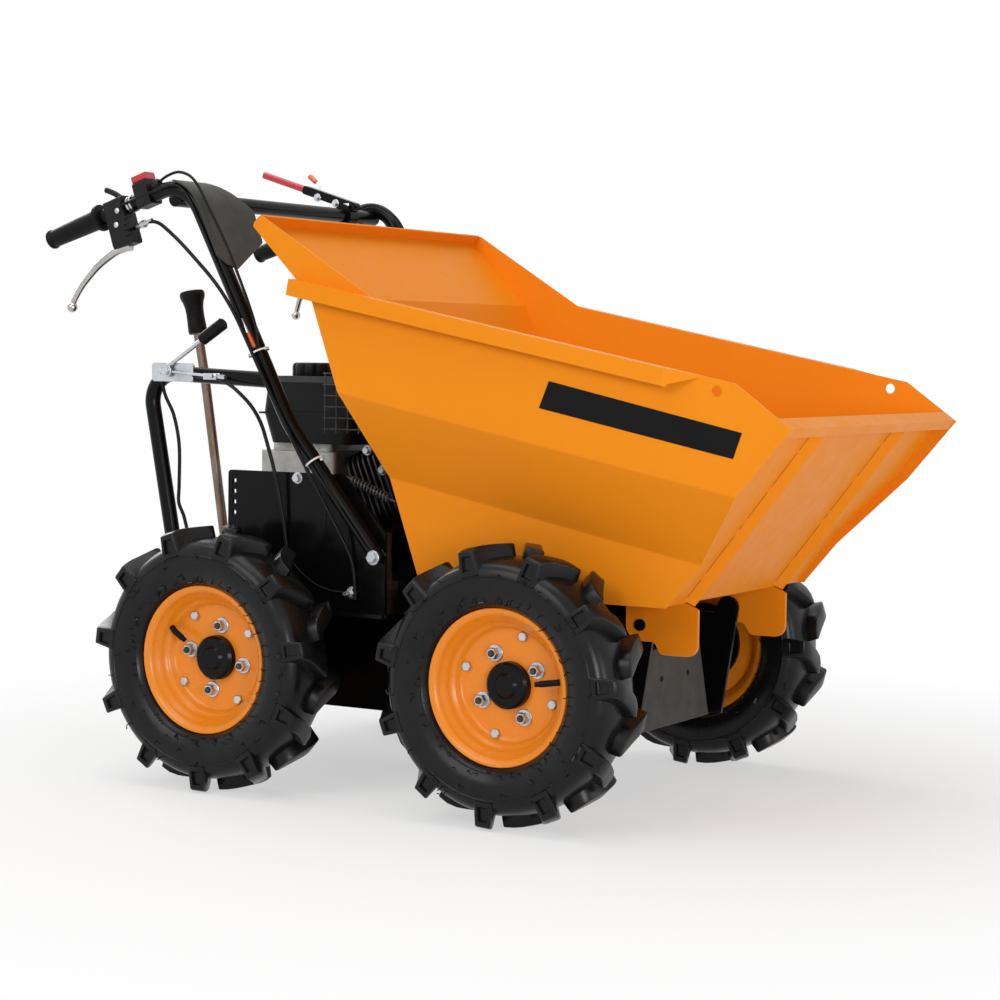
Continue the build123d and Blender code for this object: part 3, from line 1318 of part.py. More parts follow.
with BuildPart() as lock_grip:
    grip_foot = lock_start + lock_run * (LOCK_LEVER_LENGTH - LOCK_GRIP_LENGTH)
    with BuildSketch(Plane(origin=grip_foot, z_dir=lock_run)):
        Circle(LOCK_GRIP_RADIUS)
    extrude(amount=LOCK_GRIP_LENGTH)
    chamfer(lock_grip.edges().filter_by(GeomType.CIRCLE), length=LOCK_GRIP_ROUND)
    with BuildSketch(Plane(origin=grip_foot, z_dir=lock_run)):
        Circle(LOCK_ROD_RADIUS)
    extrude(amount=LOCK_GRIP_LENGTH / 2, mode=Mode.SUBTRACT)
save(lock_grip, "lock_grip")

# Control cables, held along the tubes: side, then (forward, out from the guard plate, up)
cable_seat = CABLE_RADIUS + CABLE_GAP
CABLE_ROUTES = {
    "right_lever": (-1, [
        (-738, 53, 675), (-690, 59, 690), (-636, 66, 655), (-548, 58, 570),
        (-452, 47, 385), (-384, 35, 262), (-338, cable_seat, 155), (-334, cable_seat, 96),
    ]),
    "left_lever": (1, [
        (-738, 53, 675), (-690, 59, 690), (-636, 66, 655), (-548, 58, 570),
        (-452, 47, 385), (-384, 35, 262), (-338, cable_seat, 155), (-334, cable_seat, 96),
    ]),
    "tipping": (1, [
        (-628, -37, 733), (-598, -36, 741), (-556, -30, 722), (-515, -19, 650),
        (-478, -9, 550), (-444, 1, 420), (-416, 5, 310), (-398, cable_seat, 96),
    ]),
    "parking_lock": (-1, [
        (-627.7, 37, 440), (-560, 43, 436), (-500, 35, 385), (-478, 15, 280),
        (-466, cable_seat, 180), (-462, cable_seat, 96),
    ]),
}


def wide_bends(points):
    """The largest even bends that the runs on either side of each corner have room for."""
    bends = []
    for before, corner, after in zip(points, points[1:], points[2:]):
        arriving = Vector(corner) - Vector(before)
        leaving = Vector(after) - Vector(corner)
        half_turn = math.radians(arriving.get_angle(leaving)) / 2
        bends.append(CABLE_BEND_SHARE * min(arriving.length, leaving.length) / math.tan(half_turn))
    return bends


with BuildPart() as control_cables:
    for side, route in CABLE_ROUTES.values():
        path = [(FRONT_AXLE_X + x, side * (guard_outer_y + out), AXLE_Z + rise) for x, out, rise in route]
        add(bent_rod(path, wide_bends(path), CABLE_RADIUS))
save(control_cables, "control_cables")
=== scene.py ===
"""Looks of the walk-behind mini dumper: camera, light, finishes and the detail around its solids.

Metres, in the solids' own frame: +X forward, +Y left, +Z up, the ground at z = 0.
"""
import json
import math
import random

import bmesh
import bpy
from mathutils import Matrix, Vector

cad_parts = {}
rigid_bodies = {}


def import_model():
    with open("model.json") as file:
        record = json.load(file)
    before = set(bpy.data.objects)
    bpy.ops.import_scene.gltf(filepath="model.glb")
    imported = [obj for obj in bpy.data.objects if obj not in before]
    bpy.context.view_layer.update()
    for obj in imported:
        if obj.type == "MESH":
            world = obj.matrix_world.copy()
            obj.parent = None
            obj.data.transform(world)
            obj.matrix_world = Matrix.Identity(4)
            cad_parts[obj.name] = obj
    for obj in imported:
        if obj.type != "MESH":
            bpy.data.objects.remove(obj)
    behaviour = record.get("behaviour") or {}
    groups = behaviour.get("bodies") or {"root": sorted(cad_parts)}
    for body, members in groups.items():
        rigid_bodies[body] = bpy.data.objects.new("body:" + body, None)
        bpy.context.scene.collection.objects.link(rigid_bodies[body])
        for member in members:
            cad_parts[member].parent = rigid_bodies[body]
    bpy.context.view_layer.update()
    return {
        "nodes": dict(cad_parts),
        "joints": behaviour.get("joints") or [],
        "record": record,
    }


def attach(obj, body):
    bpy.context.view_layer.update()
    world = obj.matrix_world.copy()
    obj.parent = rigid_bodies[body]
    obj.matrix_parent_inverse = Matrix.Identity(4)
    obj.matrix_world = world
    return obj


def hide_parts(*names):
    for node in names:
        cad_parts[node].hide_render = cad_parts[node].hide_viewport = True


for startup_object in list(bpy.data.objects):
    bpy.data.objects.remove(startup_object)
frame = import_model()
nodes_by_name = frame["nodes"]
joint_place = {joint["name"]: Vector(joint["pos_m"]) for joint in frame["joints"]}

FRONT_AXLE = joint_place["wheel_front_right_spin"].x
AXLE_HEIGHT = joint_place["wheel_front_right_spin"].z


def from_axle(x, y, rise):
    """A place measured forward and up from the front axle's centre."""
    return Vector((FRONT_AXLE + x, y, AXLE_HEIGHT + rise))


# Camera, at the photograph's angle
CAMERA_PLACE = Vector((1.9673, -3.2832, 0.6877))
CAMERA_YAW = 2.1046
CAMERA_PITCH = -0.0614
CAMERA_ROLL = 0.013
CAMERA_LENS = 85.19
SENSOR_WIDTH = 36.0


def make_camera():
    """The photograph's viewpoint, level but for a slight roll."""
    camera = bpy.data.objects.new("camera", bpy.data.cameras.new("camera"))
    bpy.context.scene.collection.objects.link(camera)
    ahead = Vector((
        math.cos(CAMERA_PITCH) * math.cos(CAMERA_YAW),
        math.cos(CAMERA_PITCH) * math.sin(CAMERA_YAW),
        math.sin(CAMERA_PITCH),
    ))
    level_right = ahead.cross(Vector((0, 0, 1))).normalized()
    level_up = level_right.cross(ahead)
    right = level_right * math.cos(CAMERA_ROLL) + level_up * math.sin(CAMERA_ROLL)
    up = level_up * math.cos(CAMERA_ROLL) - level_right * math.sin(CAMERA_ROLL)
    turn = Matrix((right, up, -ahead)).transposed().to_4x4()
    camera.matrix_world = Matrix.Translation(CAMERA_PLACE) @ turn
    camera.data.sensor_width = SENSOR_WIDTH
    camera.data.lens = CAMERA_LENS
    camera.data.dof.use_dof = False
    bpy.context.scene.camera = camera


# Materials
def write(sockets, **values):
    """Writes constants on sockets; an underscore stands for a space."""
    for name, value in values.items():
        sockets[name.replace("_", " ")].default_value = value


class Finish:
    """A material with a Principled shader and a few helpers to feed it."""

    def __init__(self, name):
        self.material = bpy.data.materials.new(name)
        self.material.use_nodes = True
        self.nodes = self.material.node_tree.nodes
        self.links = self.material.node_tree.links
        self.shader = self.nodes["Principled BSDF"]
        self.place = self.nodes.new("ShaderNodeTexCoord").outputs["Object"]

    def node(self, kind, **values):
        """A new node with constants on its sockets."""
        made = self.nodes.new(kind)
        write(made.inputs, **values)
        return made

    def noise(self, scale, detail, roughness=0.5, stretch=None):
        """Noise in the piece's own place, stretched along an axis where that is asked."""
        texture = self.node("ShaderNodeTexNoise", Scale=scale, Detail=detail, Roughness=roughness)
        place = self.place
        if stretch:
            mapping = self.node("ShaderNodeMapping", Scale=stretch)
            self.links.new(self.place, mapping.inputs["Vector"])
            place = mapping.outputs["Vector"]
        self.links.new(place, texture.inputs["Vector"])
        return texture.outputs["Fac"]

    def spread(self, value, low, high, start=0.3, end=0.7):
        """Maps a noise value to a range."""
        span = self.node("ShaderNodeMapRange", From_Min=start, From_Max=end, To_Min=low, To_Max=high)
        self.links.new(value, span.inputs["Value"])
        return span.outputs["Result"]

    def blend(self, value, first, second):
        """Blends a colour, plain or from a socket, into a plain one, as far as value says."""
        mix = self.nodes.new("ShaderNodeMix")
        mix.data_type = "RGBA"
        if isinstance(first, tuple):
            mix.inputs["A"].default_value = (*first, 1)
        else:
            self.links.new(first, mix.inputs["A"])
        mix.inputs["B"].default_value = (*second, 1)
        self.links.new(value, mix.inputs["Factor"])
        return mix.outputs["Result"]

    def feed(self, socket, value):
        """Links a value to one of the shader's sockets."""
        self.links.new(value, self.shader.inputs[socket])

    def bump(self, *layers):
        """Stacks bump layers, each (height, strength, distance)."""
        last = None
        for height, strength, distance in layers:
            relief = self.node("ShaderNodeBump", Strength=strength, Distance=distance)
            self.links.new(height, relief.inputs["Height"])
            if last:
                self.links.new(last, relief.inputs["Normal"])
            last = relief.outputs["Normal"]
        self.links.new(last, self.shader.inputs["Normal"])


PAINT_DUST = (0.32, 0.27, 0.21)
RUBBER_DUST = (0.16, 0.13, 0.1)


def paint(name, colour, deep, roughness, coat, peel=0.04, dust=0.0, shine=0.4):
    """Sprayed or powder-coated steel: a slight orange peel, uneven gloss and thin dust."""
    finish = Finish(name)
    base = finish.blend(finish.spread(finish.noise(2.2, 4.0), 0, 1), colour, deep)
    if dust:
        grime = finish.spread(finish.noise(9.0, 6.0, 0.65), 0, dust, 0.48, 0.78)
        base = finish.blend(grime, base, PAINT_DUST)
    finish.feed("Base Color", base)
    finish.feed("Roughness", finish.spread(finish.noise(38.0, 5.0), roughness * 0.85, roughness * 1.2))
    write(finish.shader.inputs, Coat_Weight=coat, Coat_Roughness=0.12, Specular_IOR_Level=shine)
    finish.bump((finish.noise(620.0, 2.0), peel, 0.0006), (finish.noise(14.0, 3.0), peel, 0.002))
    return finish.material


def rubber(name, colour, pale, roughness, grain, dust, shine):
    """Moulded rubber with a fine skin, dull patches and dust in the low spots."""
    finish = Finish(name)
    base = finish.blend(finish.spread(finish.noise(24.0, 5.0), 0, 1), colour, pale)
    film = finish.spread(finish.noise(7.0, 6.0, 0.7), 0, dust, 0.5, 0.8)
    finish.feed("Base Color", finish.blend(film, base, RUBBER_DUST))
    finish.feed("Roughness", finish.spread(finish.noise(30.0, 4.0), roughness * 0.8, roughness * 1.25))
    write(finish.shader.inputs, Specular_IOR_Level=shine)
    finish.bump((finish.noise(grain, 3.0), 0.18, 0.0006), (finish.noise(55.0, 3.0), 0.1, 0.0012))
    return finish.material


def plastic(name, colour, pale, roughness, grain=900.0, coat=0.0, shine=0.5):
    """Moulded plastic with a fine spark-eroded grain."""
    finish = Finish(name)
    finish.feed("Base Color", finish.blend(finish.spread(finish.noise(11.0, 4.0), 0, 1), colour, pale))
    finish.feed("Roughness", finish.spread(finish.noise(45.0, 4.0), roughness * 0.85, roughness * 1.2))
    write(finish.shader.inputs, Coat_Weight=coat, Coat_Roughness=0.1, Specular_IOR_Level=shine)
    finish.bump((finish.noise(grain, 2.0), 0.12, 0.0005))
    return finish.material


def metal(name, colour, dull, roughness, grain, stretch=None, stain=None, relief=0.14):
    """Bare or plated metal: uneven sheen, fine grain and stains."""
    finish = Finish(name)
    base = finish.blend(finish.spread(finish.noise(32.0, 5.0), 0, 1), colour, dull)
    if stain:
        patch = finish.spread(finish.noise(18.0, 6.0, 0.7), 0, 0.9, 0.5, 0.68)
        base = finish.blend(patch, base, stain)
    finish.feed("Base Color", base)
    finish.feed("Roughness", finish.spread(finish.noise(70.0, 5.0), roughness * 0.75, roughness * 1.3))
    write(finish.shader.inputs, Metallic=1.0)
    finish.bump((finish.noise(grain, 4.0, 0.6, stretch), relief, 0.0008))
    return finish.material


ORANGE = (0.85, 0.268, 0.01)
ORANGE_DEEP = (0.82, 0.245, 0.009)
skip_paint = paint("skip_paint", ORANGE, ORANGE_DEEP, 0.4, coat=0.0, peel=0.03, shine=0.1)
rim_paint = paint("rim_paint", (0.85, 0.262, 0.009), (0.81, 0.238, 0.008), 0.3, coat=0.08, peel=0.03)
# Deep orange for the dark strips along the ribs' edges: painted shade where each rib meets the front panel.
rib_shade_paint = paint("rib_shade_paint", (0.42, 0.085, 0.006), (0.3, 0.055, 0.005), 0.5, coat=0.0, peel=0.03)
black_paint = paint(
    "black_paint", (0.0025, 0.0025, 0.0028), (0.0045, 0.004, 0.004), 0.2, coat=0.03, shine=0.12)
satin_grey = paint(
    "satin_grey", (0.034, 0.034, 0.029), (0.04, 0.039, 0.034), 0.5, coat=0.0, peel=0.07, dust=0.05, shine=0.2)
plate_grey = paint(
    "plate_grey", (0.046, 0.043, 0.036), (0.036, 0.034, 0.029), 0.52, coat=0.0, peel=0.08, dust=0.05, shine=0.2)
panel_black = plastic("panel_black", (0.0035, 0.0035, 0.004), (0.006, 0.006, 0.006), 0.45, grain=1200.0, shine=0.1)
tyre_rubber = rubber(
    "tyre_rubber", (0.0042, 0.0044, 0.0046), (0.007, 0.0072, 0.0074), 0.26, grain=420.0, dust=0.0, shine=0.22)
grip_rubber = rubber(
    "grip_rubber", (0.0035, 0.0035, 0.0038), (0.006, 0.006, 0.006), 0.45, grain=1100.0, dust=0.01, shine=0.12)
cable_sheath = plastic("cable_sheath", (0.006, 0.006, 0.0065), (0.009, 0.009, 0.009), 0.32, grain=1500.0, shine=0.15)
black_plastic = plastic("black_plastic", (0.008, 0.008, 0.0085), (0.011, 0.011, 0.012), 0.4, grain=1300.0, shine=0.18)
red_plastic = plastic("red_plastic", (0.55, 0.012, 0.02), (0.46, 0.008, 0.014), 0.28, grain=700.0, coat=0.4)
orange_plastic = plastic("orange_plastic", (0.78, 0.13, 0.02), (0.66, 0.1, 0.015), 0.35, grain=700.0, coat=0.2)
white_nylon = plastic("white_nylon", (0.74, 0.74, 0.72), (0.66, 0.65, 0.62), 0.45)
cast_alloy = metal("cast_alloy", (0.48, 0.47, 0.45), (0.36, 0.35, 0.33), 0.5, grain=340.0)
dark_alloy = metal("dark_alloy", (0.085, 0.083, 0.08), (0.05, 0.049, 0.047), 0.5, grain=300.0)
zinc = metal("zinc", (0.62, 0.65, 0.68), (0.46, 0.49, 0.52), 0.34, grain=420.0, relief=0.05)
chrome = metal("chrome", (0.5, 0.48, 0.46), (0.4, 0.38, 0.36), 0.12, grain=180.0, relief=0.01)
worn_steel = metal(
    "worn_steel", (0.24, 0.19, 0.15), (0.16, 0.12, 0.095), 0.42, grain=240.0,
    stretch=(1, 1, 6), stain=(0.2, 0.11, 0.065))

NODE_FINISH = {
    "skip_paint": skip_paint,
    "rim_paint": rim_paint,
    "black_paint": black_paint,
    "grey_plate": plate_grey,
    "tyre": tyre_rubber,
    "rubber": grip_rubber,
    "black_plastic": black_plastic,
    "red_plastic": red_plastic,
    "engine_alloy": cast_alloy,
    "steel": zinc,
    "worn_steel": worn_steel,
    "chrome": chrome,
}


def dress_solids():
    """Gives each solid the finish of its own material slot."""
    slot_of = {part["node"]: part["material_slot"] for part in frame["record"]["subparts"]}
    special = {
        "control_cables": cable_sheath,
        "handle_shroud": satin_grey,
        "engine_cylinder": dark_alloy,
        "muffler": black_paint,
        "pivot_pins": black_paint,
    }
    for name, solid in nodes_by_name.items():
        finish = special.get(name, NODE_FINISH[slot_of[name]])
        for slot in solid.material_slots:
            slot.material = finish


# Mesh helpers
SHARP_ANGLE = math.radians(38)
BALL_LEVELS = 11
BAND_STEPS = 28
CURVE_STEPS = 7
THREAD_PITCH = 0.0016


def add_piece(name, mesh_data, finish, replaced=(), body="chassis"):
    """Turns a bmesh into a piece that rides on a body, in place of the solids that it replaces."""
    bmesh.ops.recalc_face_normals(mesh_data, faces=mesh_data.faces)
    mesh = bpy.data.meshes.new(name)
    mesh_data.to_mesh(mesh)
    mesh_data.free()
    mesh.materials.append(finish)
    mesh.shade_smooth()
    mesh.set_sharp_from_angle(angle=SHARP_ANGLE)
    piece = bpy.data.objects.new(name, mesh)
    bpy.context.scene.collection.objects.link(piece)
    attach(piece, body)
    if replaced:
        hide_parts(*replaced)


def facing(origin, axis):
    """A placement at origin whose own Z points along axis."""
    turn = Vector(axis).normalized().to_track_quat("Z", "Y").to_matrix().to_4x4()
    return Matrix.Translation(Vector(origin)) @ turn


def skin(data, rings, closed=False):
    """Joins rings of points by faces; an open row of rings is capped at both ends."""
    pairs = list(zip(rings, rings[1:]))
    if closed:
        pairs.append((rings[-1], rings[0]))
    for lower, upper in pairs:
        for index in range(len(lower)):
            after = (index + 1) % len(lower)
            data.faces.new((lower[index], lower[after], upper[after], upper[index]))
    if not closed:
        data.faces.new(rings[0][::-1])
        data.faces.new(rings[-1])


def lathe(data, profile, place, steps, closed=False):
    """Spins (radius, height) points about the placement's Z."""
    rings = []
    for radius, height in profile:
        ring = []
        for step in range(steps):
            angle = 2 * math.pi * step / steps
            spot = Vector((radius * math.cos(angle), radius * math.sin(angle), height))
            ring.append(data.verts.new(place @ spot))
        rings.append(ring)
    skin(data, rings, closed)


def smooth_through(points):
    """Points of a smooth curve that passes through the given ones."""
    points = [Vector(point) for point in points]
    padded = [points[0] * 2 - points[1]] + points + [points[-1] * 2 - points[-2]]
    curve = []
    for before, start, end, after in zip(padded, padded[1:], padded[2:], padded[3:]):
        for step in range(CURVE_STEPS):
            share = step / CURVE_STEPS
            bend = start * 2 + (end - before) * share
            bend += (before * 2 - start * 5 + end * 4 - after) * share ** 2
            bend += (start * 3 - before - end * 3 + after) * share ** 3
            curve.append(bend / 2)
    curve.append(points[-1])
    return curve


def sheet(data, corners, thickness):
    """A flat sheet: its corners, and the same corners moved by the thickness."""
    low = [data.verts.new(Vector(corner)) for corner in corners]
    high = [data.verts.new(Vector(corner) + Vector(thickness)) for corner in corners]
    data.faces.new(low[::-1])
    data.faces.new(high)
    for index in range(len(low)):
        after = (index + 1) % len(low)
        data.faces.new((low[index], low[after], high[after], high[index]))


def band(data, place, inner, outer, width):
    """A flat ring around the placement's Z."""
    half = width / 2
    lathe(data, [(inner, -half), (outer, -half), (outer, half), (inner, half)], place, BAND_STEPS, closed=True)


def ball(data, centre, radius, axis):
    """A ball, with a tiny flat at each pole."""
    profile = []
    for step in range(BALL_LEVELS):
        angle = math.pi * (step + 0.25) / (BALL_LEVELS - 0.5) - math.pi / 2
        profile.append((radius * math.cos(angle), radius * math.sin(angle)))
    lathe(data, profile, facing(centre, axis), 18)


def weld_bead(data, start, end, radius, chance):
    """A short weld: overlapping swellings from start to end."""
    start, end = Vector(start), Vector(end)
    count = max(int((end - start).length / (radius * 0.9)), 3)
    points = [start.lerp(end, step / count) for step in range(count + 1)]
    radii = [radius * chance.uniform(0.72, 1.08) for _ in points]
    radii[0] = radii[-1] = radius * 0.35
    tube(data, points, radii, 8)


def tube(data, points, radius, sides):
    """A round tube through points, its section carried along without twisting."""
    points = [Vector(point) for point in points]
    radii = radius if isinstance(radius, list) else [radius] * len(points)
    heading = (points[1] - points[0]).normalized()
    across = heading.orthogonal().normalized()
    rings = []
    for index, point in enumerate(points):
        before = points[max(index - 1, 0)]
        after = points[min(index + 1, len(points) - 1)]
        heading = (after - before).normalized()
        across = (across - heading * across.dot(heading)).normalized()
        upward = heading.cross(across)
        ring = []
        for side in range(sides):
            angle = 2 * math.pi * side / sides
            spoke = across * math.cos(angle) + upward * math.sin(angle)
            ring.append(data.verts.new(point + spoke * radii[index]))
        rings.append(ring)
    skin(data, rings)


def turned(data, start, end, steps, sides):
    """A turned rod between two points, given as (share of the way, radius) steps."""
    tube(data, [start.lerp(end, share) for share, _ in steps], [radius for _, radius in steps], sides)


def hex_fastener(data, place, flats, height, washer=0.0, stud=0.0, stud_length=0.0):
    """A hexagon head or nut with crowned corners, on an optional washer, with an optional stud end."""
    seat = 0.0
    if washer:
        seat = height * 0.28
        lathe(data, [(washer, -0.001), (washer, seat * 0.7), (washer * 0.94, seat)], place, 24)
    corner = flats / math.sqrt(3)
    crown = [(corner, seat), (corner, seat + height * 0.82), (corner * 0.84, seat + height)]
    lathe(data, crown, place, 6)
    if stud:
        tip = seat + height + stud_length
        thread = [(stud, seat + height * 0.5)]
        turns = max(int(stud_length / THREAD_PITCH), 1)
        for turn in range(turns):
            level = seat + height + stud_length * turn / turns
            thread.append((stud, level))
            thread.append((stud * 0.9, level + stud_length * 0.5 / turns))
        thread.append((stud * 0.8, tip))
        lathe(data, thread, place, 16)


def rounded_bar(data, place, width, depth, height, round_by):
    """A block with every edge rounded, standing on the placement."""
    block = bmesh.ops.create_cube(data, size=1.0)
    corners = block["verts"]
    size = Matrix.Diagonal((width, depth, height, 1))
    lift = Matrix.Translation((0, 0, height / 2))
    bmesh.ops.transform(data, matrix=place @ lift @ size, verts=corners)
    edges = list(dict.fromkeys(edge for corner in corners for edge in corner.link_edges))
    bmesh.ops.bevel(data, geom=edges, offset=round_by, segments=2, profile=0.5, affect="EDGES")


# Wheels, with the turn of each one's lugs, wheel studs, rim bolts and valve in degrees
WHEEL_TURNS = {
    "front_right": (19.5, 29, 73, 8),
    "front_left": (6.0, 50, 95, 220),
    "rear_right": (15.5, 80, 124, 152),
    "rear_left": (24.0, 15, 60, 70),
}
LUGS_PER_SIDE = 11
LUG_PITCH = 2 * math.pi / LUGS_PER_SIDE
LUG_CROWN = 0.2073
LUG_SHOULDER = 0.202
LUG_FOOT = 0.1655
LUG_START_Y = 0.0525
LUG_PAST_CENTRE = 0.01
LUG_HALF_WIDTH = 0.0125
LUG_DRAFT = 0.0035
LUG_SWEEP = 0.19
LUG_STATIONS = 9
LUG_POCKET = 0.42
LUG_POCKET_DEPTH = 0.0045
LUG_EDGE = 0.0022
LUG_SINK = 0.004
LUG_SWELL = 0.22
LUG_TIP_SHARE = 0.55
LUG_TOE = 0.0022
FLAT_CROWN_Y = 0.03
CARCASS = [
    (0.1085, 0.031), (0.116, 0.0318), (0.1178, 0.0385), (0.1215, 0.0435), (0.1232, 0.0452),
    (0.125, 0.0452), (0.1268, 0.0462), (0.133, 0.0502), (0.142, 0.053), (0.151, 0.054),
    (0.159, 0.0538), (0.1612, 0.0537), (0.1622, 0.055), (0.1638, 0.055), (0.1648, 0.0534),
    (0.17, 0.0522), (0.1755, 0.0494), (0.1805, 0.044), (0.184, 0.0375), (0.1868, 0.0285),
    (0.1886, 0.018), (0.1895, 0.006),
]
TYRE_STEPS = 132
WHISKERS = 80
WHISKER_RADIUS = 0.0009
BEAD_WHISKERS = 44
BEAD_WHISKER_RADIUS = 0.0008


def carcass_radius(y):
    """The carcass's own radius under the tread at a distance from the centre."""
    tread = [point for point in CARCASS if point[0] >= LUG_FOOT]
    for inner, outer in zip(tread, tread[1:]):
        if outer[1] <= abs(y) <= inner[1]:
            share = (abs(y) - outer[1]) / (inner[1] - outer[1])
            return outer[0] + (inner[0] - outer[0]) * share
    return tread[0][0] if abs(y) > tread[0][1] else tread[-1][0]


def on_wheel(centre, radius, angle, y):
    """A point on a wheel: angle is from the top, towards the front."""
    return Vector((centre.x + radius * math.sin(angle), centre.y + y, centre.z + radius * math.cos(angle)))


def add_lug(data, centre, start_angle, side):
    """One bar from the shoulder, sweeping forward over the crown and past its centre."""
    stations = []
    for index in range(LUG_STATIONS + 1):
        along = index / LUG_STATIONS
        y = LUG_START_Y - along * (LUG_START_Y + LUG_PAST_CENTRE)
        angle = start_angle + LUG_SWEEP * (0.45 * along + 0.55 * along * along)
        beyond = max(0.0, abs(y) - FLAT_CROWN_Y) / (LUG_START_Y - FLAT_CROWN_Y)
        top = LUG_CROWN - (LUG_CROWN - LUG_SHOULDER) * beyond * beyond
        foot = carcass_radius(y) - LUG_SINK
        half = LUG_HALF_WIDTH * (1 + LUG_SWELL * along)
        if index == 0:
            foot = LUG_FOOT
        if index == LUG_STATIONS:
            half = half * LUG_TIP_SHARE
        stations.append((side * y, angle, half, foot, top))
    rings = []
    for index, (y, angle, half, foot, top) in enumerate(stations):
        outward = side * LUG_TOE if index == 0 else 0.0
        foot_half = half + LUG_DRAFT
        ring = [
            data.verts.new(on_wheel(centre, foot, angle - foot_half / foot, y + outward)),
            data.verts.new(on_wheel(centre, top, angle - half / top, y)),
            data.verts.new(on_wheel(centre, top, angle + half / top, y)),
            data.verts.new(on_wheel(centre, foot, angle + foot_half / foot, y + outward)),
        ]
        rings.append(ring)
    for near, far in zip(rings, rings[1:]):
        for corner in range(4):
            after = (corner + 1) % 4
            data.faces.new((near[corner], near[after], far[after], far[corner]))
    middle = sum((corner.co for corner in rings[0]), Vector()) / 4
    sunk = Vector((0, -side * LUG_POCKET_DEPTH, 0))
    mouth = [data.verts.new(corner.co.lerp(middle, LUG_POCKET)) for corner in rings[0]]
    floor = [data.verts.new(corner.co.lerp(middle, LUG_POCKET + 0.08) + sunk) for corner in rings[0]]
    for outer, inner in ((rings[0], mouth), (mouth, floor)):
        for corner in range(4):
            after = (corner + 1) % 4
            data.faces.new((outer[corner], inner[corner], inner[after], outer[after]))
    data.faces.new(floor)
    data.faces.new(rings[-1])
    top_edges = []
    for near, far in zip(rings, rings[1:]):
        for corner in (1, 2):
            top_edges.append(data.edges.get((near[corner], far[corner])))
    top_edges.append(data.edges.get((rings[0][1], rings[0][2])))
    top_edges.append(data.edges.get((rings[0][0], rings[0][1])))
    top_edges.append(data.edges.get((rings[0][2], rings[0][3])))
    top_edges.append(data.edges.get((rings[-1][1], rings[-1][2])))
    bmesh.ops.bevel(data, geom=top_edges, offset=LUG_EDGE, segments=2, profile=0.5, affect="EDGES")


def make_tyre(name, lug_turn):
    """A smooth carcass with two staggered rows of lugs and the whiskers of its mould."""
    centre = joint_place[f"wheel_{name}_spin"]
    phase = math.radians(lug_turn)
    outward = -1 if centre.y < 0 else 1
    data = bmesh.new()
    profile = CARCASS + [(radius, -y) for radius, y in reversed(CARCASS)]
    lathe(data, profile, facing(centre, (0, 1, 0)), TYRE_STEPS, closed=True)
    for lug in range(LUGS_PER_SIDE):
        add_lug(data, centre, phase + lug * LUG_PITCH, outward)
        add_lug(data, centre, phase + (lug + 0.5) * LUG_PITCH, -outward)
    chance = random.Random(name)
    for whisker in range(WHISKERS):
        angle = 2 * math.pi * (whisker + chance.random()) / WHISKERS
        side = chance.choice((-1, 1))
        radius, y = chance.choice(CARCASS[4:17])
        root = on_wheel(centre, radius - 0.0005, angle, side * y)
        away = on_wheel(centre, radius + 0.003, angle + chance.uniform(-0.02, 0.02), side * (y + 0.005))
        tip = on_wheel(centre, radius + 0.005, angle + chance.uniform(-0.06, 0.06), side * (y + 0.008))
        tube(data, [root, away, tip], WHISKER_RADIUS, 4)
    for whisker in range(BEAD_WHISKERS):
        angle = 2 * math.pi * (whisker + 0.4 * chance.random()) / BEAD_WHISKERS
        radius, y = chance.choice(CARCASS[3:8])
        for side in (-1, 1):
            root = on_wheel(centre, radius, angle, side * (y - 0.001))
            away = on_wheel(centre, radius + 0.0005, angle + 0.01, side * (y + 0.005))
            tip_radius = radius + chance.uniform(-0.003, 0.003)
            tip = on_wheel(centre, tip_radius, angle + chance.uniform(-0.04, 0.04), side * (y + 0.0095))
            tube(data, [root, away, tip], BEAD_WHISKER_RADIUS, 4)
    add_piece(f"lugged_tyre_{name}", data, tyre_rubber, [f"tyre_{name}"], body=f"wheel_{name}")


RIM_PROFILE = [
    (0.035, -0.0075), (0.035, -0.004), (0.0775, -0.004), (0.0815, -0.0028), (0.0842, -0.0002),
    (0.0868, 0.006), (0.0895, 0.0085), (0.0925, 0.0105), (0.0945, 0.015), (0.0985, 0.0215),
    (0.1018, 0.025), (0.1035, 0.0288), (0.1058, 0.0325), (0.109, 0.0345), (0.1125, 0.0362),
    (0.115, 0.0364), (0.1162, 0.035), (0.1164, 0.033), (0.115, 0.0318), (0.111, 0.0312),
    (0.1078, 0.029), (0.1074, 0.02), (0.104, 0.012), (0.099, 0.008), (0.099, -0.014),
    (0.1074, -0.022), (0.1078, -0.029), (0.111, -0.0312), (0.115, -0.0318), (0.1164, -0.033),
    (0.1162, -0.035), (0.115, -0.0364), (0.11, -0.0352), (0.104, -0.03), (0.095, -0.018),
    (0.0935, -0.012), (0.09, -0.0085), (0.084, -0.008),
]
RIM_STEPS = 120
STUD_CIRCLE = 0.052
BOLT_CIRCLE = 0.076
DISC_FACE = -0.004


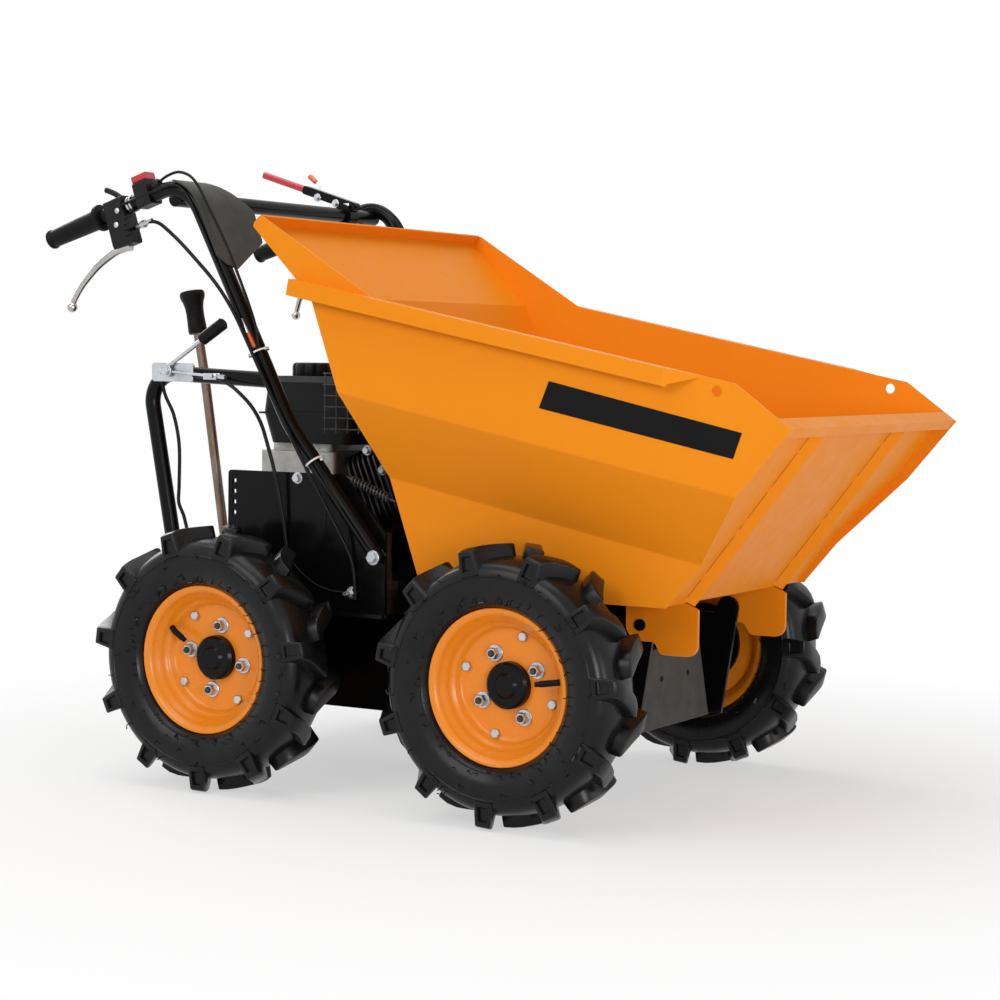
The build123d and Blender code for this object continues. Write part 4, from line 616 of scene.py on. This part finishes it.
def make_rim(name, stud_turn, bolt_turn, valve_turn):
    """A pressed rim with its wheel nuts, rim bolts and valve."""
    centre = joint_place[f"wheel_{name}_spin"]
    outward = -1 if centre.y < 0 else 1
    place = facing(centre, (0, outward, 0))
    body = f"wheel_{name}"
    data = bmesh.new()
    lathe(data, RIM_PROFILE, place, RIM_STEPS, closed=True)
    add_piece(f"pressed_rim_{name}", data, rim_paint, [f"rim_{name}"], body=body)

    def on_disc(radius, degrees, out):
        angle = math.radians(90 - degrees)
        return on_wheel(centre, radius, angle, outward * out)

    fasteners = bmesh.new()
    studs = bmesh.new()
    for quarter in range(4):
        seat = facing(on_disc(STUD_CIRCLE, stud_turn + 90 * quarter, DISC_FACE), (0, outward, 0))
        hex_fastener(fasteners, seat, flats=0.0165, height=0.0105, washer=0.0128)
        hex_fastener(studs, seat, flats=0.008, height=0.011, stud=0.0052, stud_length=0.006)
        head = facing(on_disc(BOLT_CIRCLE, bolt_turn + 90 * quarter, DISC_FACE), (0, outward, 0))
        hex_fastener(fasteners, head, flats=0.0132, height=0.0068)
    add_piece(f"wheel_nuts_{name}", fasteners, zinc, body=body)
    add_piece(f"wheel_studs_{name}", studs, dark_alloy, body=body)

    valve = bmesh.new()
    root = on_disc(0.0905, valve_turn, 0.009)
    bend = on_disc(0.082, valve_turn, 0.014)
    tip = on_disc(0.062, valve_turn, 0.017)
    tube(valve, [root, bend, tip], 0.0048, 14)
    tube(valve, [tip, tip + (tip - bend) * 0.35], 0.004, 14)
    add_piece(f"valve_{name}", valve, grip_rubber, body=body)


# Details around the solids: places are forward of, and above, the front axle
GRIP_FALL = math.radians(18)
GRIP_WAY = Vector((-math.cos(GRIP_FALL), 0, -math.sin(GRIP_FALL)))
TUBE_TURN = (-0.63, 0.7505)
HANDLE_Y = 0.285


def placed(origin, along, outward):
    """A placement whose X runs along the first direction and whose Z faces the second."""
    out = Vector(outward).normalized()
    ahead = Vector(along)
    ahead = (ahead - out * ahead.dot(out)).normalized()
    turn = Matrix((ahead, out.cross(ahead), out)).transposed().to_4x4()
    return Matrix.Translation(Vector(origin)) @ turn


def on_grip_leg(back, side):
    """A point on a handlebar tube's axis, back from its bend."""
    return from_axle(TUBE_TURN[0], side * HANDLE_Y, TUBE_TURN[1]) + GRIP_WAY * back


SIDE_WALL_Y = 0.3256
PANEL = [(0.0567, 0.4431), (0.3613, 0.3771), (0.3485, 0.341), (0.0409, 0.4041)]
PANEL_THICKNESS = 0.0007
FRONT_FOOT = (0.2005, 0.119)
FRONT_WAY = (0.6136, 0.7896)
RIB_Y = 0.158
RIB_HALF = 0.0131
STITCHES = [0.046, 0.128, 0.15, 0.212, 0.286]
# Reach, width and thickness of the dark strips of painted shade along each rib's edges.
RIB_SHADE_REACH = (0.012, 0.338)
RIB_SHADE_WIDTH = 0.0016
RIB_SHADE_THICKNESS = 0.0005
BRACKET_HALF = 0.0035
BRACKET_TOP = 0.1182


def on_front(reach, y):
    """A point on the skip's front panel, up its slope from the foot."""
    return from_axle(FRONT_FOOT[0] + FRONT_WAY[0] * reach, y, FRONT_FOOT[1] + FRONT_WAY[1] * reach)


def dress_skip():
    """The plain side panels, the welds, and dark strips of painted shade along the ribs' edges."""
    panels = bmesh.new()
    for side in (-1, 1):
        corners = [from_axle(x, side * SIDE_WALL_Y, rise) for x, rise in PANEL]
        sheet(panels, corners, (0, side * PANEL_THICKNESS, 0))
    add_piece("side_panels", panels, panel_black, body="skip")
    chance = random.Random("welds")
    welds = bmesh.new()
    seams = bmesh.new()
    for rib in (-1, 1):
        for edge in (-1, 1):
            y = rib * RIB_Y + edge * RIB_HALF
            for stitch in STITCHES:
                start, end = (on_front(reach, y) for reach in (stitch, stitch + chance.uniform(0.008, 0.017)))
                weld_bead(welds, start, end, 0.0027, chance)
            # A thin dark strip along the rib's edge: painted shade where the rib meets the front panel, not a seam
            # colour.
            low, high = (on_front(reach, y) for reach in RIB_SHADE_REACH)
            beside = Vector((0, edge * RIB_SHADE_WIDTH, 0))
            strip = [low, high, high + beside, low + beside]
            sheet(seams, strip, Vector((FRONT_WAY[1], 0, -FRONT_WAY[0])) * RIB_SHADE_THICKNESS)
        for face in (-BRACKET_HALF, BRACKET_HALF):
            foot_y = rib * RIB_Y + face
            start, end = (from_axle(x, foot_y, BRACKET_TOP) for x in (0.108, 0.196))
            weld_bead(welds, start, end, 0.0026, chance)
        seam_y = rib * (SIDE_WALL_Y + 0.0008)
        weld_bead(welds, from_axle(-0.258, seam_y, 0.5635), from_axle(-0.38, seam_y, 0.588), 0.0019, chance)
    add_piece("skip_welds", welds, skip_paint, body="skip")
    # The dark rib strips are painted shade.
    add_piece("rib_painted_shade", seams, rib_shade_paint, body="skip")


GUARD_FACE = 0.2332
GUARD_BOLTS = [
    (-0.4479, 0.2332, 0.2813, 0.0125),
    (-0.2875, 0.2586, 0.1655, 0.0155),
    (-0.343, 0.2332, 0.1055, 0.0135),
]
GUARD_SEAMS = [(-0.395, 0.1, 0.283), (-0.352, 0.1, 0.272)]
GUARD_SEAM_WIDTH = 0.0022


def dress_guards():
    """Bolts and folded seams on the plates beside the engine."""
    bolts = bmesh.new()
    seams = bmesh.new()
    for side in (-1, 1):
        for x, face, rise, flats in GUARD_BOLTS:
            seat = facing(from_axle(x, side * face, rise), (0, side, 0))
            hex_fastener(bolts, seat, flats, height=0.0065, washer=flats * 0.74)
        x, _, rise, _ = GUARD_BOLTS[-1]
        stud = facing(from_axle(x, side * (GUARD_FACE + 0.007), rise), (0, side, 0))
        hex_fastener(bolts, stud, flats=0.009, height=0.004, stud=0.004, stud_length=0.01)
        for x, low, high in GUARD_SEAMS:
            far = x + GUARD_SEAM_WIDTH
            corners = [(x, low), (far, low), (far, high), (x, high)]
            strip = [from_axle(along, side * GUARD_FACE, rise) for along, rise in corners]
            sheet(seams, strip, (0, side * 0.0006, 0))
    add_piece("guard_bolts", bolts, zinc)
    add_piece("guard_seams", seams, black_paint)


TIES = [
    ((-0.501, 0.2652, 0.479), (-0.182, 0.028, 0.383)),
    ((-0.4006, 0.2538, 0.308), (-0.165, 0.011, 0.207)),
]
SWITCH_WIRE = [
    (-0.69, -0.2885, 0.744), (-0.668, -0.29, 0.757), (-0.64, -0.2905, 0.7625), (-0.612, -0.289, 0.748),
    (-0.582, -0.286, 0.7), (-0.549, -0.285, 0.6424), (-0.5325, -0.284, 0.6058), (-0.5126, -0.283, 0.5616),
    (-0.498, -0.2805, 0.52), (-0.49, -0.277, 0.479), (-0.446, -0.27, 0.38), (-0.3925, -0.2666, 0.308),
    (-0.34, -0.26, 0.23), (-0.315, -0.25, 0.185), (-0.302, -0.235, 0.165),
]
THROTTLE_WIRE = [
    (-0.756, -0.2995, 0.711), (-0.7, -0.3, 0.7285), (-0.65, -0.3, 0.742), (-0.624, -0.299, 0.73),
    (-0.6, -0.295, 0.688), (-0.5632, -0.2896, 0.61), (-0.5166, -0.2825, 0.512), (-0.501, -0.28, 0.479),
    (-0.448, -0.272, 0.3675), (-0.4006, -0.2686, 0.308), (-0.3145, -0.263, 0.2), (-0.296, -0.256, 0.172),
    (-0.2913, -0.24, 0.1585),
]
HOOP_CABLE = [
    (-0.6973, -0.264, 0.43), (-0.69, -0.262, 0.405), (-0.6782, -0.256, 0.375), (-0.6695, -0.253, 0.327),
    (-0.67, -0.252, 0.2641), (-0.6705, -0.252, 0.2342), (-0.66, -0.251, 0.21), (-0.652, -0.25, 0.17),
    (-0.648, -0.25, 0.079),
]
LOW_CABLE = [
    (-0.463, -0.2365, 0.17), (-0.4517, -0.238, 0.1465), (-0.416, -0.239, 0.1195), (-0.3808, -0.2385, 0.108),
    (-0.343, -0.237, 0.1055),
]
WIRES = [(SWITCH_WIRE, 0.0024), (THROTTLE_WIRE, 0.0024), (HOOP_CABLE, 0.0029), (LOW_CABLE, 0.0016)]
JOINT_ENDS = [(-0.53, -0.2795, 0.5365), (-0.5, -0.2795, 0.486)]
JOINT_STEPS = [(0.0, 0.003), (0.12, 0.003), (0.13, 0.0042), (0.55, 0.0042)]
SLEEVE_STEPS = [(0.55, 0.0036), (0.97, 0.0036), (1.0, 0.0022)]


def dress_tubes():
    """Cable ties, thin wires and a cable joint along the handlebar tubes."""
    ties = bmesh.new()
    for side in (-1, 1):
        for (x, y, rise), (way_x, way_y, way_z) in TIES:
            way = (way_x, side * way_y, way_z)
            ring = facing(from_axle(x + 0.001, side * (y + 0.0035), rise), way)
            band(ties, ring, inner=0.0168, outer=0.0178, width=0.0028)
            lock_place = from_axle(x + 0.0165, side * (y + 0.008), rise + 0.006)
            rounded_bar(ties, placed(lock_place, way, (0.8, side * 0.3, 0.3)), 0.0045, 0.0045, 0.0035, 0.0006)
    add_piece("cable_ties", ties, white_nylon)
    wires = bmesh.new()
    for route, radius in WIRES:
        tube(wires, smooth_through([from_axle(*point) for point in route]), radius, 10)
    add_piece("small_wires", wires, cable_sheath)
    joints = bmesh.new()
    sleeve = bmesh.new()
    start, end = (from_axle(*point) for point in JOINT_ENDS)
    turned(joints, start, end, JOINT_STEPS, 14)
    turned(sleeve, start, end, SLEEVE_STEPS, 14)
    add_piece("cable_joint", joints, zinc)
    add_piece("cable_joint_sleeve", sleeve, orange_plastic)


LEVER_LINE = [
    (-0.744, 0.285, 0.647), (-0.758, 0.287, 0.644), (-0.7762, 0.292, 0.6345), (-0.8039, 0.299, 0.6125),
    (-0.8282, 0.306, 0.583), (-0.84, 0.311, 0.56), (-0.844, 0.312, 0.548),
]
GRIP_END = (-0.91206, 0.65885)
GRIP_LENGTH = 0.116
GRIP_STEPS = 40
GRIP_CAP = [
    (0.0055, 0.0), (0.013, 0.0), (0.0154, 0.0012), (0.0161, 0.0035), (0.0158, 0.0062), (0.0143, 0.008),
]
GRIP_FLANGE = [
    (0.0166, 0.1035), (0.019, 0.1065), (0.0216, 0.108), (0.0222, 0.111), (0.0218, 0.1148),
    (0.02, GRIP_LENGTH), (0.0127, GRIP_LENGTH),
]
GRIP_RIDGES = 22
RIDGE_START = 0.01
RIDGE_PITCH = 0.0042
RIDGE_HEIGHT = 0.0003
ADJUSTER = [(-0.729, 0.2872, 0.6778), (-0.696, 0.2915, 0.688)]
ADJUSTER_STEPS = [
    (0.0, 0.0046), (0.3, 0.0046), (0.31, 0.0066), (0.5, 0.0066),
    (0.51, 0.0046), (0.62, 0.0046), (0.63, 0.0038), (1.0, 0.0034),
]
PERCH_SCREWS = [(-0.7718, 0.7073), (-0.7734, 0.6846)]
SCREW_HEAD = [(0.0046, -0.001), (0.0046, 0.0022), (0.0036, 0.0034), (0.0018, 0.0038)]
PERCH_RIBS = [(-0.74, 0.693), (-0.739, 0.684), (-0.738, 0.675), (-0.737, 0.666), (-0.736, 0.657)]
CLIPS_BACK = (0.1135, 0.1195)
PADDLE_BACK = 0.133
WIRE_PLUG = [(0.0075, -0.007), (0.0092, -0.004), (0.0092, 0.004), (0.007, 0.008)]


def grip_profile():
    """Half of a grip's outline: rounded end, fine ridges on a slight taper, and a flange."""
    profile = list(GRIP_CAP)
    for ridge in range(GRIP_RIDGES):
        level = RIDGE_START + RIDGE_PITCH * ridge
        body = 0.0141 + 0.0024 * ridge / GRIP_RIDGES
        top = body + RIDGE_HEIGHT
        profile += [(body, level), (top, level + 0.0014), (top, level + 0.003)]
    return profile + GRIP_FLANGE


def dress_controls():
    """Levers, grips and the small fittings at the handlebar's ends."""
    levers = bmesh.new()
    grips = bmesh.new()
    screws = bmesh.new()
    ribs = bmesh.new()
    clips = bmesh.new()
    for side in (-1, 1):
        line = smooth_through([from_axle(x, side * y, rise) for x, y, rise in LEVER_LINE])
        radii = [0.0078 - 0.0037 * index / (len(line) - 1) for index in range(len(line))]
        tube(levers, line, radii, 14)
        ball(levers, line[-1], 0.0085, line[-1] - line[-2])
        grip_end = from_axle(GRIP_END[0], side * HANDLE_Y, GRIP_END[1])
        lathe(grips, grip_profile(), facing(grip_end, -GRIP_WAY), GRIP_STEPS)
        for x, rise in PERCH_SCREWS:
            head = facing(from_axle(x + 0.012, side * 0.3, rise - 0.004), (0, side, 0))
            lathe(screws, SCREW_HEAD, head, 20)
        for x, rise in PERCH_RIBS:
            rib = placed(from_axle(x, side * 0.299, rise), GRIP_WAY, (0, side, 0))
            rounded_bar(ribs, rib, 0.017, 0.0036, 0.0032, 0.0008)
        start, end = (from_axle(x, side * y, rise) for x, y, rise in ADJUSTER)
        turned(clips, start, end, ADJUSTER_STEPS, 12)
        for back in CLIPS_BACK:
            band(clips, facing(on_grip_leg(back, side), GRIP_WAY), inner=0.0126, outer=0.014, width=0.0036)
    add_piece("blade_levers", levers, chrome, ["hand_levers"])
    add_piece("moulded_grips", grips, grip_rubber, ["grips"])
    add_piece("perch_screws", screws, zinc)
    add_piece("perch_ribs", ribs, black_plastic)
    add_piece("switch_clips", clips, zinc)
    paddle = bmesh.new()
    root = on_grip_leg(PADDLE_BACK, -1)
    tip = from_axle(-0.7926, -0.285, 0.7371)
    middle = from_axle(-0.7753, -0.285, 0.7305)
    stem = [root + Vector((0, 0, 0.01)), middle, tip, tip + Vector((-0.004, 0, 0.0005))]
    tube(paddle, smooth_through(stem), 0.0046, 12)
    band(paddle, facing(root, GRIP_WAY), inner=0.0126, outer=0.0175, width=0.009)
    lathe(paddle, WIRE_PLUG, facing(from_axle(*SWITCH_WIRE[0]), (0.9, 0, 0.2)), 24)
    add_piece("throttle_paddle", paddle, black_plastic)


KNOB_FOOT = (-0.7666, 0.5095)
KNOB_WAY = (-0.029, 0, 0.142)
KNOB_PROFILE = [
    (0.0083, 0.0), (0.015, 0.0), (0.016, 0.003), (0.0158, 0.012), (0.0152, 0.024), (0.015, 0.034),
    (0.0156, 0.044), (0.0175, 0.053), (0.02, 0.059), (0.0213, 0.0645), (0.0211, 0.069), (0.0194, 0.0718),
    (0.0168, 0.0724), (0.0144, 0.0714), (0.013, 0.069), (0.012, 0.063),
]
GEAR_Y = -0.08
BOOT_PLEATS = 5
PLEAT_HEIGHT = 0.0058
PLEAT_TAPER = 0.0026
LOCK_ROD = [(-0.6664, -0.2745, 0.4458), (-0.596, -0.2745, 0.4404)]
FORK_EARS = (-0.0055, 0.0035)


def dress_gear_and_lock():
    """The gear lever's knob and boot, and the parking lock's rod and fork."""
    knob = bmesh.new()
    lathe(knob, KNOB_PROFILE, facing(from_axle(KNOB_FOOT[0], GEAR_Y, KNOB_FOOT[1]), KNOB_WAY), 48)
    add_piece("moulded_knob", knob, grip_rubber, ["gear_knob"])
    boot = bmesh.new()
    pleats = []
    for pleat in range(BOOT_PLEATS):
        shrink = PLEAT_TAPER * pleat
        level = PLEAT_HEIGHT * pleat
        pleats += [(0.024 - shrink, level), (0.0215 - shrink, level + 0.003)]
    lathe(boot, pleats, facing(from_axle(-0.701, GEAR_Y, 0.1362), (-0.1, 0, 1)), 32)
    add_piece("gear_boot", boot, grip_rubber)
    lock = bmesh.new()
    pivot = from_axle(-0.6772, -0.277, 0.4473)
    hex_fastener(lock, facing(pivot, (0, -1, 0)), flats=0.0135, height=0.006, washer=0.01)
    start, end = (from_axle(*point) for point in LOCK_ROD)
    tube(lock, [start, end], 0.0024, 12)
    for ear in FORK_EARS:
        blade = placed(end + Vector((0.008, ear, -0.001)), (1, 0, 0), (0, 1, 0))
        rounded_bar(lock, blade, 0.026, 0.01, 0.002, 0.0006)
    fork_pin = facing(end + Vector((0.013, FORK_EARS[0], 0)), (0, -1, 0))
    hex_fastener(lock, fork_pin, flats=0.007, height=0.004)
    tube(lock, [end + Vector((0.018, 0, -0.001)), end + Vector((0.036, -0.001, -0.002))], 0.004, 6)
    add_piece("lock_linkage", lock, zinc)


TIP_Y = 0.196
TIP_BOLTS = [(-0.7106, 0.754), (-0.6713, 0.743)]
TIP_WIRE = [(-0.7188, 0.7815), (-0.712, 0.7755), (-0.7095, 0.762)]
TIP_PIN = [(-0.7347, 0.7937), (-0.7188, 0.7815)]
TIP_PIN_STEPS = [(0.0, 0.0022), (0.06, 0.004), (0.2, 0.0048), (0.9, 0.0044), (1.0, 0.0026)]


def dress_tip_lever():
    """Bolts, bracket, spring wire and locking pin of the tipping release lever."""
    plated = bmesh.new()
    for x, rise in TIP_BOLTS:
        seat = facing(from_axle(x, TIP_Y - 0.0078, rise), (0, -1, 0))
        hex_fastener(plated, seat, flats=0.0095, height=0.0048, washer=0.0072)
    bracket = placed(from_axle(-0.648, TIP_Y, 0.721), (1, 0, 0.1), (0, 0, 1))
    rounded_bar(plated, bracket, 0.012, 0.02, 0.022, 0.0012)
    tube(plated, smooth_through([from_axle(x, TIP_Y, rise) for x, rise in TIP_WIRE]), 0.0012, 8)
    add_piece("tip_lever_fittings", plated, zinc)
    pin = bmesh.new()
    start, end = (from_axle(x, TIP_Y, rise) for x, rise in TIP_PIN)
    turned(pin, start, end, TIP_PIN_STEPS, 16)
    add_piece("tip_lever_pin", pin, orange_plastic)


CAP_CENTRE = (-0.56, -0.022, 0.4405)
CAP_RADIUS = 0.042
CAP_LEVELS = [
    (0.0, 0.985), (0.002, 1.0), (0.0145, 1.0), (0.0185, 0.985), (0.021, 0.945),
    (0.022, 0.86), (0.0205, 0.8), (0.0205, 0.2), (0.0215, 0.12),
]
CAP_LOBES = 12
CAP_STEPS = 144
NOTCH_DEPTH = 0.0036
NOTCHED_FROM = 0.9


def notched_cap(data, place):
    """A cap with finger notches around its rim."""
    rings = []
    for level, share in CAP_LEVELS:
        ring = []
        for step in range(CAP_STEPS):
            turn = 2 * math.pi * step / CAP_STEPS
            notch = max(0.0, math.cos(turn * CAP_LOBES)) ** 3 if share > NOTCHED_FROM else 0.0
            radius = CAP_RADIUS * share - NOTCH_DEPTH * notch
            spot = Vector((radius * math.cos(turn), radius * math.sin(turn), level))
            ring.append(data.verts.new(place @ spot))
        rings.append(ring)
    skin(data, rings)



CASE_X = -0.552
CASE_HALF_LENGTH = 0.075
CASE_HALF_WIDTH = 0.095
CASE_MIDDLE = 0.19
CASE_RIBS = [0.17, 0.2, 0.23, 0.26]
MUFFLER_CAGE_Y = -0.128
CAGE_X = [-0.47, -0.448, -0.426, -0.404, -0.382, -0.36, -0.338]
CAGE_RISE = [0.356, 0.374, 0.392, 0.41, 0.428, 0.446]
CAGE_WIRE = 0.0014
CAGE_LID_FROM = -0.42
SPRING_ENDS = [(-0.3535, -0.22, 0.2816), (-0.283, -0.22, 0.2545)]
SPRING_RADIUS = 0.0064
SPRING_STEPS = 240
STEPS_PER_COIL = 20
HEAD_BOLTS = [(-0.4257, 0.3213), (-0.395, 0.29)]


def dress_engine_top():
    """The fuel cap, the muffler's wire cage, the governor spring and the head's bolts."""
    cap = bmesh.new()
    notched_cap(cap, Matrix.Translation(from_axle(*CAP_CENTRE)))
    add_piece("notched_cap", cap, black_plastic, ["fuel_cap"])
    cage = bmesh.new()
    low, high = CAGE_RISE[0] - 0.006, CAGE_RISE[-1]
    lid = high + 0.004
    for x in CAGE_X:
        upright = [from_axle(x, MUFFLER_CAGE_Y, low), from_axle(x, MUFFLER_CAGE_Y, high)]
        if x > CAGE_LID_FROM:
            upright += [from_axle(x, MUFFLER_CAGE_Y + 0.006, lid), from_axle(x, -0.008, lid)]
        tube(cage, upright, CAGE_WIRE, 8)
    for rise in CAGE_RISE:
        bar = [from_axle(x, MUFFLER_CAGE_Y, rise) for x in (CAGE_X[0] - 0.004, CAGE_X[-1] + 0.004)]
        tube(cage, bar, CAGE_WIRE, 8)
    add_piece("muffler_cage", cage, dark_alloy)
    start, end = (from_axle(*point) for point in SPRING_ENDS)
    axis = facing(start, end - start)
    length = (end - start).length
    coil = []
    for step in range(SPRING_STEPS + 1):
        turn = 2 * math.pi * step / STEPS_PER_COIL
        across = (SPRING_RADIUS * math.cos(turn), SPRING_RADIUS * math.sin(turn))
        coil.append(axis @ Vector((*across, length * step / SPRING_STEPS)))
    spring = bmesh.new()
    tube(spring, coil, 0.0016, 8)
    tube(spring, [start - (end - start) * 0.2, end + (end - start) * 0.15], 0.002, 8)
    add_piece("governor_spring", spring, dark_alloy)
    fittings = bmesh.new()
    for x, rise in HEAD_BOLTS:
        seat = facing(from_axle(x, -0.07, rise), (0, -1, 0))
        hex_fastener(fittings, seat, flats=0.0115, height=0.006, washer=0.0085)
    add_piece("engine_fittings", fittings, zinc)


COVER_THICKNESS = 0.007
COVER_BOSS = [(0.04, 0.006), (0.04, 0.012), (0.034, 0.018), (0.014, 0.018), (0.012, 0.03), (0.004, 0.031)]
COVER_BOLTS_ACROSS = (-0.053, 0.0, 0.053)
COVER_BOLTS_UP = (-0.065, 0.065)
FILLER_PLUG = [(0.013, -0.003), (0.013, 0.006), (0.017, 0.007), (0.017, 0.015), (0.012, 0.018), (0.004, 0.018)]


def dress_crankcase():
    """The crankcase's side cover and cast ribs, its bolts, oil filler and drain."""
    castings = bmesh.new()
    cover = placed(from_axle(CASE_X, -CASE_HALF_WIDTH, CASE_MIDDLE), (1, 0, 0), (0, -1, 0))
    rounded_bar(castings, cover, 0.126, 0.15, COVER_THICKNESS, 0.003)
    lathe(castings, COVER_BOSS, cover, 40)
    bolts = bmesh.new()
    for across in COVER_BOLTS_ACROSS:
        for up in COVER_BOLTS_UP:
            seat = cover @ Matrix.Translation((across, up, COVER_THICKNESS))
            hex_fastener(bolts, seat, flats=0.01, height=0.0055, washer=0.007)
    rear_x = CASE_X - CASE_HALF_LENGTH
    for rise in CASE_RIBS:
        rib = placed(from_axle(rear_x, 0, rise), (0, 1, 0), (-1, 0, 0))
        rounded_bar(castings, rib, 0.15, 0.006, 0.0045, 0.0012)
    add_piece("crankcase_cover", castings, cast_alloy)
    plugs = bmesh.new()
    lathe(plugs, FILLER_PLUG, facing(from_axle(rear_x, 0.055, 0.125), (-1, 0, 0.35)), 28)
    add_piece("oil_filler_plug", plugs, black_plastic)
    drain = facing(from_axle(rear_x, -0.055, 0.115), (-1, 0, 0))
    hex_fastener(bolts, drain, flats=0.014, height=0.008, washer=0.01)
    add_piece("crankcase_bolts", bolts, zinc)


RECOIL_CENTRE = (-0.552, 0.1405, 0.1885)
RECOIL_BOSS = [(0.03, -0.001), (0.03, 0.004), (0.026, 0.007), (0.012, 0.0075)]
RECOIL_VANES = 16
CLEANER_KNOB = [(0.016, -0.001), (0.016, 0.008), (0.011, 0.012), (0.004, 0.013)]
STARTER_GRIP = (-0.5, 0.15, 0.265)
STARTER_STEPS = [(-0.028, 0.004), (-0.02, 0.0075), (0.0, 0.0065), (0.02, 0.0075), (0.028, 0.004)]


def dress_covers():
    """The recoil cover's boss and vanes, the air cleaner's knob and the starter grip."""
    covers = bmesh.new()
    recoil = facing(from_axle(*RECOIL_CENTRE), (0, 1, 0))
    lathe(covers, RECOIL_BOSS, recoil, 40)
    for vane in range(RECOIL_VANES):
        turn = Matrix.Rotation(2 * math.pi * vane / RECOIL_VANES, 4, "Z")
        blade = recoil @ turn @ Matrix.Translation((0.056, 0, -0.001))
        rounded_bar(covers, blade, 0.038, 0.006, 0.005, 0.0014)
    lathe(covers, CLEANER_KNOB, facing(from_axle(-0.374, 0.06, 0.44), (0, 0, 1)), 28)
    add_piece("cover_mouldings", covers, black_plastic)
    starter = bmesh.new()
    grip = from_axle(*STARTER_GRIP)
    line = [grip + Vector((along, 0, 0)) for along, _ in STARTER_STEPS]
    tube(starter, line, [radius for _, radius in STARTER_STEPS], 16)
    tube(starter, [grip, grip + Vector((-0.006, -0.014, -0.012))], 0.004, 10)
    add_piece("starter_grip", starter, grip_rubber)


# Stage and light
FLOOR_REACH = 40.0
FLOOR_PALE = (0.86, 0.85, 0.84, 1)
FADE_FROM = 0.5
FADE_TO = 1.7
FADE_NEAR = 0.55
FADE_FAR = 1.0
SKY_LEVEL = 0.34
BACKDROP_LEVEL = 1.0
WHITE = (1, 1, 1, 1)
BACKDROP_RAYS = ["Is Camera Ray", "Is Glossy Ray", "Is Transmission Ray"]


def backdrop_share(nodes, links):
    """A socket that is 1 for rays that show the backdrop, and 0 for those that light the object."""
    path = nodes.new("ShaderNodeLightPath")
    share = path.outputs[BACKDROP_RAYS[0]]
    for ray in BACKDROP_RAYS[1:]:
        either = nodes.new("ShaderNodeMath")
        either.operation = "MAXIMUM"
        links.new(share, either.inputs[0])
        links.new(path.outputs[ray], either.inputs[1])
        share = either.outputs["Value"]
    return share


def make_stage():
    """A pale floor that keeps the shadow and fades to white away from the machine."""
    data = bmesh.new()
    bmesh.ops.create_grid(data, x_segments=8, y_segments=8, size=FLOOR_REACH)
    mesh = bpy.data.meshes.new("floor")
    data.to_mesh(mesh)
    data.free()
    floor = bpy.data.objects.new("floor", mesh)
    bpy.context.scene.collection.objects.link(floor)
    material = bpy.data.materials.new("floor")
    material.use_nodes = True
    nodes = material.node_tree.nodes
    links = material.node_tree.links
    nodes.clear()
    output = nodes.new("ShaderNodeOutputMaterial")
    pale = nodes.new("ShaderNodeBsdfDiffuse")
    pale.inputs["Color"].default_value = FLOOR_PALE
    glow = nodes.new("ShaderNodeEmission")
    write(glow.inputs, Color=WHITE, Strength=BACKDROP_LEVEL)
    place = nodes.new("ShaderNodeTexCoord")
    distance = nodes.new("ShaderNodeVectorMath")
    distance.operation = "LENGTH"
    links.new(place.outputs["Object"], distance.inputs[0])
    fade = nodes.new("ShaderNodeMapRange")
    fade.interpolation_type = "SMOOTHSTEP"
    write(fade.inputs, From_Min=FADE_FROM, From_Max=FADE_TO, To_Min=FADE_NEAR, To_Max=FADE_FAR)
    links.new(distance.outputs["Value"], fade.inputs["Value"])
    seen = nodes.new("ShaderNodeMixShader")
    links.new(fade.outputs["Result"], seen.inputs["Fac"])
    links.new(pale.outputs["BSDF"], seen.inputs[1])
    links.new(glow.outputs["Emission"], seen.inputs[2])
    mix = nodes.new("ShaderNodeMixShader")
    links.new(backdrop_share(nodes, links), mix.inputs["Fac"])
    links.new(pale.outputs["BSDF"], mix.inputs[1])
    links.new(seen.outputs["Shader"], mix.inputs[2])
    links.new(mix.outputs["Shader"], output.inputs["Surface"])
    mesh.materials.append(material)


LIT_PLACE = (0.0, 0.0, 0.45)
LAMPS = [
    ("key", (-0.6, -3.6, 2.6), (2.6, 1.8), 48),
    ("top", (-0.4, -0.4, 3.6), (3.2, 2.4), 52),
    ("front", (4.0, -0.35, 0.8), (1.3, 1.2), 16),
    ("low", (3.0, -2.7, 0.75), (1.2, 1.1), 42),
    ("back", (-3.4, 1.4, 2.2), (1.8, 1.6), 40),
]


def soft_box(name, place, size, power):
    """A white area lamp that faces the machine."""
    lamp = bpy.data.lights.new(name, "AREA")
    lamp.shape = "RECTANGLE"
    lamp.size, lamp.size_y = size
    lamp.energy = power
    holder = bpy.data.objects.new(name, lamp)
    holder.matrix_world = facing(place, Vector(place) - Vector(LIT_PLACE))
    bpy.context.scene.collection.objects.link(holder)


def make_light():
    """An even white sky and five soft white lamps."""
    world = bpy.data.worlds.new("studio")
    bpy.context.scene.world = world
    world.use_nodes = True
    nodes = world.node_tree.nodes
    links = world.node_tree.links
    sky = nodes["Background"]
    sky.inputs["Color"].default_value = WHITE
    level = nodes.new("ShaderNodeMix")
    write(level.inputs, A=SKY_LEVEL, B=BACKDROP_LEVEL)
    links.new(backdrop_share(nodes, links), level.inputs["Factor"])
    links.new(level.outputs["Result"], sky.inputs["Strength"])
    for lamp in LAMPS:
        soft_box(*lamp)


make_camera()
make_stage()
make_light()
dress_solids()
for wheel, (lugs, studs, bolts, valve) in WHEEL_TURNS.items():
    make_tyre(wheel, lugs)
    make_rim(wheel, studs, bolts, valve)
dress_skip()
dress_guards()
dress_tubes()
dress_controls()
dress_gear_and_lock()
dress_tip_lever()
dress_engine_top()
dress_crankcase()
dress_covers()

bpy.context.scene.view_settings.view_transform = "Standard"
